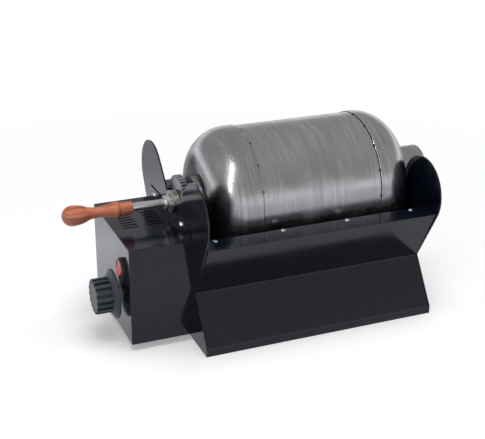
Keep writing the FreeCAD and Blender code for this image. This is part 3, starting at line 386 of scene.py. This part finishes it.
def lathe(points, steps):
    # A ring about the drum's axis: points are (x from the left plate, radius).
    bm = bmesh.new()
    verts = [bm.verts.new(((plateFace + x) * mm, 0.0, (axisHeight + r) * mm))
             for x, r in points]
    edges = [bm.edges.new(pair) for pair in zip(verts, verts[1:] + verts[:1])]
    bmesh.ops.spin(bm, geom=verts + edges, cent=(0.0, 0.0, axisHeight * mm),
                   axis=(1.0, 0.0, 0.0), angle=math.tau, steps=steps, use_merge=True,
                   use_duplicate=False)
    bmesh.ops.remove_doubles(bm, verts=bm.verts, dist=0.000001)
    return bm


def arcPoints(x, r, radius, start, end, count):
    # Points round (x, r), with angles in degrees from +X towards the outside.
    result = []
    for i in range(count + 1):
        turn = math.radians(start + (end - start) * i / count)
        result.append((x + radius * math.cos(turn), r + radius * math.sin(turn)))
    return result


# Plain pieces: the CAD shapes with rounded edges.
dressedNodes = [
    {"node": "box_cover", "look": enamel, "edge": 0.28},
    {"node": "box_base", "look": enamel, "edge": 0.2},
    {"node": "reflector_tray", "look": traySteel, "edge": 0.2},
    {"node": "front_heater", "look": sheath, "edge": 0.0},
    {"node": "rear_heater", "look": sheath, "edge": 0.0},
    {"node": "heater_insulators", "look": ceramic, "edge": 0.4},
    {"node": "heater_support", "look": traySteel, "edge": 0.15},
    {"node": "thermostat_bulb", "look": brass, "edge": 0.2},
    {"node": "bulb_grommet", "look": ceramic, "edge": 0.2},
    {"node": "bulb_clip", "look": traySteel, "edge": 0.2},
    {"node": "mixing_vanes", "look": drumSteel, "edge": 0.15},
    {"node": "drum_hub", "look": turnedSteel, "edge": 0.3},
    {"node": "spindle", "look": turnedSteel, "edge": 0.35},
    {"node": "spindle_nut", "look": zinc, "edge": 0.3},
    {"node": "drive_gear", "look": gearSteel, "edge": 0.12},
    {"node": "drive_pinion", "look": gearSteel, "edge": 0.12},
    {"node": "bearing_bush", "look": bronze, "edge": 0.35},
    {"node": "spindle_washer", "look": turnedSteel, "edge": 0.2},
    {"node": "spindle_collar", "look": turnedSteel, "edge": 0.5},
    {"node": "switch_bezel", "look": bezelPlastic, "edge": 0.3},
    {"node": "rocker", "look": rockerRed, "edge": 0.5},
    {"node": "knob", "look": knobPlastic, "edge": 0.55, "out": 4.0},
    {"node": "knob_cap", "look": capPlastic, "edge": 0.2, "out": 4.0},
    {"node": "knob_shaft", "look": brass, "edge": 0.2},
    {"node": "thermostat", "look": motorSteel, "edge": 0.5},
    {"node": "thermostat_nut", "look": zinc, "edge": 0.3},
    {"node": "gear_case", "look": motorSteel, "edge": 0.4},
    {"node": "motor_can", "look": motorSteel, "edge": 0.3},
    {"node": "motor_shaft", "look": turnedSteel, "edge": 0.3},
    {"node": "terminal_block", "look": terminalWhite, "edge": 0.4},
    {"node": "cable_gland", "look": nylon, "edge": 0.4},
]
record = frame["record"]
bodyOf = {}
for bodyName, members in record["behaviour"]["bodies"].items():
    for member in members:
        bodyOf[member] = bodyName

for item in dressedNodes:
    node = item["node"]
    dress(node, item["look"], bodyOf[node], item["edge"], item.get("out", 0.0))
print("plain pieces made")


# Stand: end plates cut from sheet, and panels folded at rim, waist and foot.
stand = {"length": 272.0, "sheet": 2.0, "footHalf": 104.0, "footRise": 9.0, "waistHalf": 70.0,
         "waistHeight": 59.5, "rimHalf": 105.4, "rimHeight": 123.2, "rimWidth": 25.5,
         "panel": 1.3, "fit": 0.1, "toe": 14.0, "fold": 0.9}
# Holes are (across, up, radius): four for the heaters' ends, one for the bulb's capillary
# and one for the motor's shaft.
leftPlate = {"place": 0.0, "half": 73.4, "height": 147.0, "radius": 37.5, "notch": 10.35,
             "holes": [(-39.0, 47.0, 6.65), (-13.0, 47.0, 6.65), (13.0, 47.0, 6.65),
                       (39.0, 47.0, 6.65), (0.0, 51.0, 2.65), (0.0, 101.5, 6.15)]}
rightPlate = {"place": 270.0, "half": 71.2, "height": 139.2, "radius": 39.2, "notch": 26.35,
              "holes": []}


def arcTo(centre, radius, start, end, count):
    result = []
    for i in range(count + 1):
        turn = start + (end - start) * i / count
        result.append((centre[0] + radius * math.cos(turn), centre[1] + radius * math.sin(turn)))
    return result


def plateEdge(plate):
    # Half of the outline, from the foot round the lobe to the bottom of the notch.
    waist = Vector((stand["waistHalf"], stand["waistHeight"]))
    lobe = Vector((plate["half"], plate["height"]))
    radius, notch = plate["radius"], plate["notch"]
    away = lobe - waist
    lean = math.atan2(away.y, away.x) - math.asin(radius / away.length)
    start = lean - math.pi / 2.0
    axis = Vector((0.0, axisHeight))
    across = axis - lobe
    swing = math.acos((radius + notch) / across.length)
    finish = math.atan2(across.y, across.x) % math.tau - swing
    points = [(stand["footHalf"], 0.0), (stand["footHalf"], stand["footRise"]), tuple(waist)]
    points += arcTo(lobe, radius, start, finish, 64)
    bottom = arcTo(axis, notch, finish - math.pi, -math.pi / 2.0, 20)
    return points + bottom


def platePiece(name, plate, node):
    half = plateEdge(plate)
    outline = half + [(-y, z) for y, z in reversed(half[:-1])]
    bm = bmesh.new()
    x = plateFace + plate["place"]
    loops = [outline]
    for y, z, radius in plate["holes"]:
        loops.append(arcTo((y, z), radius, 0.0, math.tau, 36)[:-1])
    edges = []
    for loop in loops:
        verts = [bm.verts.new((x * mm, y * mm, z * mm)) for y, z in loop]
        edges += [bm.edges.new(pair) for pair in zip(verts, verts[1:] + verts[:1])]
    bmesh.ops.triangle_fill(bm, use_beauty=True, use_dissolve=True, edges=edges,
                            normal=(1.0, 0.0, 0.0))
    pushAlongX(bm, list(bm.faces), stand["sheet"])
    bevelSharp(bm, 0.35, 2, 60.0)
    newPiece(name, bm, enamel, "root", replaced=(node,))


def panelPiece(name, side, node):
    rim, high, wall = stand["rimHalf"], stand["rimHeight"], stand["panel"]
    fit, rise = stand["fit"], stand["footRise"]
    foot, lip = stand["footHalf"] - fit, rim - stand["rimWidth"]
    toe = foot - stand["toe"]
    waist, waistHigh = stand["waistHalf"], stand["waistHeight"]
    section = [(lip, high), (rim, high), (waist, waistHigh), (foot, rise), (foot, fit),
               (toe, fit), (toe, fit + wall), (foot - wall, fit + wall), (foot - wall, rise),
               (waist - wall * 1.2, waistHigh), (rim - wall * 1.4, high - wall),
               (lip, high - wall)]
    bm = bmesh.new()
    low = plateFace + stand["sheet"] + fit
    verts = [bm.verts.new((low * mm, y * side * mm, z * mm)) for y, z in section]
    pushAlongX(bm, [bm.faces.new(verts)], stand["length"] - (stand["sheet"] + fit) * 2.0)
    folds = []
    for edge in bm.edges:
        first, second = edge.verts[0].co, edge.verts[1].co
        if abs(first.x - second.x) < 100.0 * mm:
            continue
        y, z = abs(first.y) / mm, first.z / mm
        corners = ((rim, high), (waist, waistHigh), (foot, rise))
        if any(math.hypot(y - a, z - b) < 2.2 for a, b in corners):
            folds.append(edge)
    bmesh.ops.bevel(bm, geom=folds, offset=stand["fold"] * mm, offset_type="OFFSET",
                    affect="EDGES", segments=4, profile=0.5, material=-1, clamp_overlap=True)
    bevelSharp(bm, 0.2, 2, 50.0)
    newPiece(name, bm, enamel, "root", replaced=(node,))


platePiece("leftPlateLook", leftPlate, "left_end_plate")
platePiece("rightPlateLook", rightPlate, "right_end_plate")
panelPiece("frontPanelLook", -1, "front_panel")
panelPiece("rearPanelLook", 1, "rear_panel")
print("stand made")


# Drum shell and the two spun domes that overlap its ends.
shell = {"low": 73.0, "high": 222.0, "radius": 74.0, "sheet": 1.0, "rings": 24}
domeShape = {"inner": 74.15, "sheet": 1.0, "knuckle": 44.0, "lip": 0.25, "leftSeam": 77.0,
             "rightSeam": 218.0, "leftEnd": 25.0, "rightEnd": 267.0, "leftHole": 4.65,
             "rightHole": 26.15, "steps": 216}
# Tack welds hold each seam, and its lip stands off the shell between them.
seamWelds = {"pitch": 22.0, "count": 16, "leftShift": 4.0, "rightShift": 0.0,
             "size": (1.3, 1.7, 0.7), "stand": 0.55, "lift": 0.55, "fade": 3.0}


def shellPiece():
    outer, inner = shell["radius"], shell["radius"] - shell["sheet"]
    low, high, count = shell["low"], shell["high"], shell["rings"]
    outside = [(low + (high - low) * i / count, outer) for i in range(count + 1)]
    inside = [(high, inner), (low, inner)]
    newPiece("drumShellLook", lathe(outside + inside, 180), drumSteel, "drum",
             replaced=("drum_shell",))


def domeOutline(seam, end, hole, side):
    inner, sheet, bend = domeShape["inner"], domeShape["sheet"], domeShape["knuckle"]
    outer, lip = inner + sheet, domeShape["lip"]
    centre = end - bend * side
    away = [(seam, inner + 0.2), (seam, outer - lip), (seam + lip * side, outer)]
    away += [(seam + (centre - seam) * part, outer) for part in (0.3, 0.6)]
    start = 90.0
    finish = 0.0 if side > 0 else 180.0
    away += arcPoints(centre, outer - bend, bend, start, finish, 28)
    away += [(end, (outer - bend) * 0.6 + hole * 0.4), (end, hole)]
    skin = end - sheet * side
    back = [(skin, hole)]
    back += arcPoints(centre, outer - bend, bend - sheet, finish, start, 20)
    back += [(seam, inner)]
    return away + back


def liftLip(bm, side, seam=None):
    # With a seam given, the lift fades out along the drum.
    lipStart = (shell["radius"] + 0.1) * mm
    for vert in bm.verts:
        near = 1.0
        if seam is not None:
            near -= abs(vert.co.x / mm - plateFace - seam) / seamWelds["fade"]
        y, z = vert.co.y, vert.co.z - axisHeight * mm
        radius = math.hypot(y, z)
        if near > 0.0 and radius > lipStart:
            turn = math.atan2(-y, z)
            ripple = abs(math.sin(math.pi * turn / math.radians(seamWelds["pitch"]))) ** 1.5
            gape = max(0.0, math.sin(turn * 1.3 - 0.1)) if side > 0 else 0.35
            factor = 1.0 + near * ripple * gape * seamWelds["lift"] * mm / radius
            vert.co.y = y * factor
            vert.co.z = z * factor + axisHeight * mm


def domePieces():
    for name, side in (("left", -1), ("right", 1)):
        seam, end = domeShape[name + "Seam"], domeShape[name + "End"]
        bm = lathe(domeOutline(seam, end, domeShape[name + "Hole"], side),
                   domeShape["steps"])
        liftLip(bm, side, seam)
        newPiece(name + "DomeLook", bm, domeSteel, "drum", smooth=40.0,
                 replaced=(name + "_dome",))


def tackMarks():
    # Small dark weld spots on both seams.
    bm = bmesh.new()
    along, across, high = seamWelds["size"]
    out = Matrix.Translation((0.0, 0.0, (shell["radius"] + seamWelds["stand"]) * mm))
    shape = Matrix.Diagonal((along * mm, across * mm, high * mm, 1.0))
    for name, side in (("left", -1), ("right", 1)):
        x = plateFace + domeShape[name + "Seam"] - 0.5 * side
        centre = Matrix.Translation((x * mm, 0.0, axisHeight * mm))
        for i in range(seamWelds["count"]):
            turn = math.radians(seamWelds["pitch"] * i + seamWelds[name + "Shift"])
            swing = Matrix.Rotation(turn, 4, "X")
            bmesh.ops.create_icosphere(bm, subdivisions=3, radius=1.0,
                                       matrix=centre @ swing @ out @ shape)
    newPiece("tackMarksLook", bm, weldAndGapShadeSteel, "drum")


def seamEdges():
    # A wire-thin lip on each dome's edge, in lighter steel as a painted highlight, and beside it
    # a dark ring of painted shadow for the gap under the lip.
    skin, steps = shell["radius"], domeShape["steps"]
    outer = domeShape["inner"] + domeShape["sheet"]
    inner = outer - 0.55
    for name, side in (("left", -1), ("right", 1)):
        seam = domeShape[name + "Seam"]
        # The lifted lip is real shape; its lighter steel is a painted highlight.
        near, far = seam - 0.02 * side, seam - 0.16 * side
        bright = lathe([(near, inner), (near, outer - 0.12), (far, outer - 0.2),
                        (far, inner)], steps)
        liftLip(bright, side)
        newPiece(name + "SeamLook", bright, seamHighlightSteel, "drum")
        # A dark ring on the shell beside the dome's edge: painted shadow for the gap under the
        # lifted lip.
        near, far = seam - 0.1 * side, seam - 0.95 * side
        dark = lathe([(near, skin), (near, skin + 0.3), (far, skin + 0.04), (far, skin)], steps)
        newPiece(name + "SeamShade", dark, weldAndGapShadeSteel, "drum")


neckShape = {"low": 263.0, "middle": 280.0, "high": 304.0, "outer": 26.0, "inner": 24.8,
             "edge": 0.3, "steps": 144}
neckBead = {"place": 266.9, "radius": 26.2, "size": 1.2, "root": 25.5, "low": 266.4,
            "high": 268.2}


def neckPiece():
    low, high, edge = neckShape["low"], neckShape["high"], neckShape["edge"]
    outer, inner, steps = neckShape["outer"], neckShape["inner"], neckShape["steps"]
    points = [(low, inner), (high - edge, inner), (high, inner + edge), (high, outer - edge),
              (high - edge, outer), (neckShape["middle"], outer), (low, outer)]
    newPiece("neckTubeLook", lathe(points, steps), domeSteel, "drum",
             replaced=("neck_tube",))
    bead = [(neckBead["low"], neckBead["root"])]
    bead += arcPoints(neckBead["place"], neckBead["radius"], neckBead["size"], 120.0, -20.0, 10)
    bead += [(neckBead["high"], neckBead["root"])]
    newPiece("neckWeldLook", lathe(bead, steps), domeSteel, "drum")


shellPiece()
domePieces()
tackMarks()
seamEdges()
neckPiece()
print("drum made")


# Screws: a pan head with a cross recess on each CAD screw. Rise and shift move the rim
# screws onto the raised rim.
cadScrew = {"head": 2.2, "shank": 1.6}
largeHead = {"radius": 3.4, "height": 2.2, "cross": 1.1, "rise": 0.0, "shift": 0.0}
smallHead = {"radius": 2.9, "height": 1.3, "cross": 0.7, "rise": 3.2, "shift": 1.5}


def screwHead(size):
    radius, height = size["radius"], size["height"]
    bm = bmesh.new()
    ringPoints = [(0.0, radius * 0.97), (0.15, radius)]
    ringPoints += [(height * math.sin(math.radians(a)),
                    radius * 0.42 + radius * 0.58 * math.cos(math.radians(a)))
                   for a in (25, 45, 62, 76, 88)]
    profile = [bm.verts.new((r * mm, 0.0, h * mm)) for h, r in ringPoints]
    top = bm.verts.new((0.0, 0.0, height * mm))
    low = bm.verts.new((0.0, 0.0, 0.0))
    chain = [low] + profile + [top]
    edges = [bm.edges.new(pair) for pair in zip(chain, chain[1:])]
    bmesh.ops.spin(bm, geom=chain + edges, cent=(0.0, 0.0, 0.0), axis=(0.0, 0.0, 1.0),
                   angle=math.tau, steps=48, use_merge=True, use_duplicate=False)
    bmesh.ops.remove_doubles(bm, verts=bm.verts, dist=0.000001)
    bmesh.ops.recalc_face_normals(bm, faces=bm.faces)
    head = asObject("headBlank", bm)
    tool = bmesh.new()
    for turn in (0.0, math.pi / 2.0):
        matrix = (Matrix.Translation((0.0, 0.0, height * mm)) @ Matrix.Rotation(turn, 4, "Z")
                  @ Matrix.Diagonal((radius * 1.15 * mm, 0.75 * mm, size["cross"] * 2.0 * mm,
                                     1.0)))
        bmesh.ops.create_cube(tool, size=1.0, matrix=matrix)
    cutter = asObject("crossTool", tool)
    modifier = head.modifiers.new("cross", "BOOLEAN")
    modifier.operation = "DIFFERENCE"
    modifier.solver = "EXACT"
    modifier.use_self = True
    modifier.object = cutter
    graph = bpy.context.evaluated_depsgraph_get()
    mesh = bpy.data.meshes.new_from_object(head.evaluated_get(graph))
    bpy.data.objects.remove(head)
    bpy.data.objects.remove(cutter)
    return mesh


def asObject(name, bm):
    mesh = bpy.data.meshes.new(name)
    bm.to_mesh(mesh)
    bm.free()
    thing = bpy.data.objects.new(name, mesh)
    bpy.context.collection.objects.link(thing)
    return thing


def islandsOf(bm):
    # Separate pieces of one mesh, in the order of their first vertices.
    seen = set()
    groups = []
    for start in bm.verts:
        if start in seen:
            continue
        seen.add(start)
        group = [start]
        for vert in group:
            for edge in vert.link_edges:
                other = edge.other_vert(vert)
                if other not in seen:
                    seen.add(other)
                    group.append(other)
        groups.append(group)
    return groups


def screws(node, outward, turns, size, head):
    # Each CAD screw is swapped for a rounded head on a plain shank.
    bm = cadMesh(node)
    result = bmesh.new()
    facing = outward.to_track_quat("Z", "Y").to_matrix().to_4x4()
    for group, turn in zip(islandsOf(bm), turns):
        spots = [vert.co for vert in group]
        centre = sum(spots, Vector()) / len(spots)
        ends = [spot.dot(outward) for spot in spots]
        face = centre + outward * (max(ends) - centre.dot(outward))
        seat = face + outward * (size["rise"] - cadScrew["head"]) * mm
        seat.y -= math.copysign(size["shift"], seat.y) * mm
        headTurn = Matrix.Rotation(math.radians(turn), 4, "Z")
        copyMesh = head.copy()
        copyMesh.transform(Matrix.Translation(seat) @ facing @ headTurn)
        result.from_mesh(copyMesh)
        bpy.data.meshes.remove(copyMesh)
        length = (max(ends) - min(ends)) - cadScrew["head"] * mm
        shank = Matrix.Translation(seat - outward * length / 2.0) @ facing
        bmesh.ops.create_cone(result, cap_ends=True, cap_tris=False, segments=24,
                              radius1=cadScrew["shank"] * mm, radius2=cadScrew["shank"] * mm,
                              depth=length, matrix=shank)
    bm.free()
    newPiece(node + "Look", result, zinc, "root", smooth=38.0, replaced=(node,))


upward, leftward = Vector((0.0, 0.0, 1.0)), Vector((-1.0, 0.0, 0.0))
largeMesh, smallMesh = screwHead(largeHead), screwHead(smallHead)
screws("front_rim_screws", upward, (12, 55, 80, 33), smallHead, smallMesh)
screws("rear_rim_screws", upward, (70, 5, 38, 62), smallHead, smallMesh)
screws("flange_screws", leftward, (20, 52), largeHead, largeMesh)
screws("motor_screws", leftward, (40, 8), largeHead, largeMesh)
print("screws made")


# The turned wooden grip: the CAD shape with its flats joined and its edges rounded.
def gripPiece():
    bm = cadMesh("wooden_grip")
    bmesh.ops.dissolve_limit(bm, angle_limit=math.radians(0.3), verts=bm.verts, edges=bm.edges)
    bevelSharp(bm, 0.4, 3)
    newPiece("woodenGripLook", bm, wood, "drum", smooth=50.0, replaced=("wooden_grip",))


gripPiece()


# White marks on the knob's skirt, about the knob's axis at (across, up).
skirtPaint = {"across": -21.0, "up": 51.0, "place": -79.35, "radius": 23.4, "tilt": 30.0,
              "first": -150.0, "pitch": 30.0, "count": 11, "thick": 0.16, "wide": 0.75,
              "long": 4.4, "short": 2.8}


def skirtMarks():
    bm = bmesh.new()
    size = skirtPaint
    axis = Matrix.Translation((0.0, size["across"] * mm, size["up"] * mm))
    out = Matrix.Translation(((plateFace + size["place"]) * mm, 0.0, size["radius"] * mm))
    tilt = Matrix.Rotation(math.radians(size["tilt"]), 4, "Y")
    for i in range(size["count"]):
        swing = Matrix.Rotation(math.radians(size["first"] + size["pitch"] * i), 4, "X")
        length = size["long"] if i % 5 == 0 else size["short"]
        shape = Matrix.Diagonal((size["thick"] * mm, size["wide"] * mm, length * mm, 1.0))
        bmesh.ops.create_cube(bm, size=1.0, matrix=axis @ swing @ out @ tilt @ shape)
    newPiece("skirtMarksLook", bm, whitePaint, "knob")


skirtMarks()
print("controls made")


# Floor, light and camera, in metres and degrees. The floor and the world are mirrored in
# the enamel and steel with tones of their own, and seen white by the camera.
floorLook = {"colour": (0.62, 0.62, 0.625), "size": 12.0, "mirror": 1.7,
             "near": -0.2, "far": 0.8, "shadowReach": 0.3, "whiteReach": 0.8, "haze": 0.3,
             "tones": [(0.0, (0.4, 0.41, 0.45)), (0.14, (0.279, 0.285, 0.3)),
                       (0.26, (0.465, 0.475, 0.5)), (0.42, (0.6696, 0.684, 0.72)),
                       (0.66, (0.372, 0.38, 0.4)), (1.0, (0.3, 0.3, 0.33))]}
worldLook = {"strength": 1.6,
             "tones": [(0.0, (0.92, 0.93, 0.96)), (0.12, (0.8, 0.8, 0.816)),
                       (0.24, (0.26, 0.26, 0.2652)), (0.6, (0.28, 0.28, 0.2856)),
                       (1.0, (0.31, 0.31, 0.32))]}
lamps = [
    {"name": "stripLight", "place": (-1.35, -1.0, 1.15), "target": (0.0, 0.0, 0.14),
     "size": (0.13, 2.6), "power": 14.0, "mirrored": True},
    {"name": "topLight", "place": (0.1, -0.2, 2.2), "target": (0.0, 0.0, 0.1),
     "size": (1.5, 1.1), "power": 60.0, "mirrored": False},
]
view = {"azimuth": -22.429, "elevation": 23.062, "roll": 0.343, "lens": 79.72,
        "place": (-0.4337, -1.0308, 0.5794)}


def floorPiece(look):
    material = bpy.data.materials.new("paleFloor")
    material.use_nodes = True
    tree = material.node_tree
    shader = tree.nodes["Principled BSDF"]
    shader.inputs["Base Color"].default_value = (*look["colour"], 1.0)
    shader.inputs["Roughness"].default_value = 0.75
    shader.inputs["Specular IOR Level"].default_value = 0.1
    coords = addNode(tree, "ShaderNodeTexCoord")
    path = addNode(tree, "ShaderNodeLightPath")
    parts = addNode(tree, "ShaderNodeSeparateXYZ", {"Vector": coords.outputs["Object"]})
    depth = remap(tree, parts.outputs["Y"], look["near"], look["far"], 0.0, 1.0)
    mirrored = addNode(tree, "ShaderNodeEmission",
                       {"Color": colourRamp(tree, depth, look["tones"]),
                        "Strength": look["mirror"]})
    first = addNode(tree, "ShaderNodeMixShader",
                    {0: path.outputs["Is Glossy Ray"], 1: shader.outputs["BSDF"],
                     2: mirrored.outputs["Emission"]})
    # Whiter with the distance, so that only the shadow by the object stays.
    reach = addNode(tree, "ShaderNodeVectorMath", {0: coords.outputs["Object"]},
                    operation="LENGTH")
    whiter = remap(tree, reach.outputs["Value"], look["shadowReach"], look["whiteReach"],
                   look["haze"], 1.0)
    share = addNode(tree, "ShaderNodeMath", {0: path.outputs["Is Camera Ray"], 1: whiter},
                    operation="MULTIPLY")
    glow = addNode(tree, "ShaderNodeEmission", {"Color": (1.0, 1.0, 1.0, 1.0), "Strength": 1.0})
    mix = addNode(tree, "ShaderNodeMixShader",
                  {0: share.outputs[0], 1: first.outputs["Shader"],
                   2: glow.outputs["Emission"]})
    tree.links.new(mix.outputs["Shader"], tree.nodes["Material Output"].inputs["Surface"])
    bm = bmesh.new()
    bmesh.ops.create_grid(bm, x_segments=1, y_segments=1, size=look["size"])
    mesh = bpy.data.meshes.new("floorPlane")
    bm.to_mesh(mesh)
    bm.free()
    mesh.materials.append(material)
    floor = bpy.data.objects.new("floorPlane", mesh)
    bpy.context.collection.objects.link(floor)


def worldLight(look):
    world = bpy.data.worlds.new("studioWorld")
    bpy.context.scene.world = world
    world.use_nodes = True
    tree = world.node_tree
    tree.nodes.clear()
    coords = addNode(tree, "ShaderNodeTexCoord")
    parts = addNode(tree, "ShaderNodeSeparateXYZ", {"Vector": coords.outputs["Generated"]})
    studio = addNode(tree, "ShaderNodeBackground",
                     {"Color": colourRamp(tree, parts.outputs["Z"], look["tones"]),
                      "Strength": look["strength"]})
    seen = addNode(tree, "ShaderNodeBackground",
                   {"Color": (1.0, 1.0, 1.0, 1.0), "Strength": 1.0})
    path = addNode(tree, "ShaderNodeLightPath")
    mix = addNode(tree, "ShaderNodeMixShader",
                  {0: path.outputs["Is Camera Ray"], 1: studio.outputs["Background"],
                   2: seen.outputs["Background"]})
    output = tree.nodes.new("ShaderNodeOutputWorld")
    tree.links.new(mix.outputs["Shader"], output.inputs["Surface"])


def softLight(name, place, target, size, power, mirrored):
    light = bpy.data.lights.new(name, "AREA")
    light.shape = "RECTANGLE"
    light.size, light.size_y = size
    light.energy = power
    lamp = bpy.data.objects.new(name, light)
    lamp.location = place
    lamp.visible_glossy = mirrored
    aim = Vector(target) - Vector(place)
    lamp.rotation_euler = aim.to_track_quat("-Z", "Y").to_euler()
    bpy.context.collection.objects.link(lamp)


def photoCamera(view):
    azimuth, elevation, roll = (math.radians(view[key])
                                for key in ("azimuth", "elevation", "roll"))
    back = Vector((math.sin(azimuth) * math.cos(elevation),
                   -math.cos(azimuth) * math.cos(elevation), math.sin(elevation)))
    right = Vector((math.cos(azimuth), math.sin(azimuth), 0.0))
    up = back.cross(right)
    turn = Matrix((right, up, back)).transposed() @ Matrix.Rotation(roll, 3, "Z")
    data = bpy.data.cameras.new("photoCamera")
    data.lens = view["lens"]
    data.sensor_width = 36.0
    data.sensor_fit = "HORIZONTAL"
    data.dof.use_dof = False
    camera = bpy.data.objects.new("photoCamera", data)
    camera.matrix_world = Matrix.Translation(view["place"]) @ turn.to_4x4()
    bpy.context.collection.objects.link(camera)
    bpy.context.scene.camera = camera


floorPiece(floorLook)
worldLight(worldLook)
for lamp in lamps:
    softLight(**lamp)
photoCamera(view)
bpy.context.scene.view_settings.view_transform = "Standard"
print("stage set")
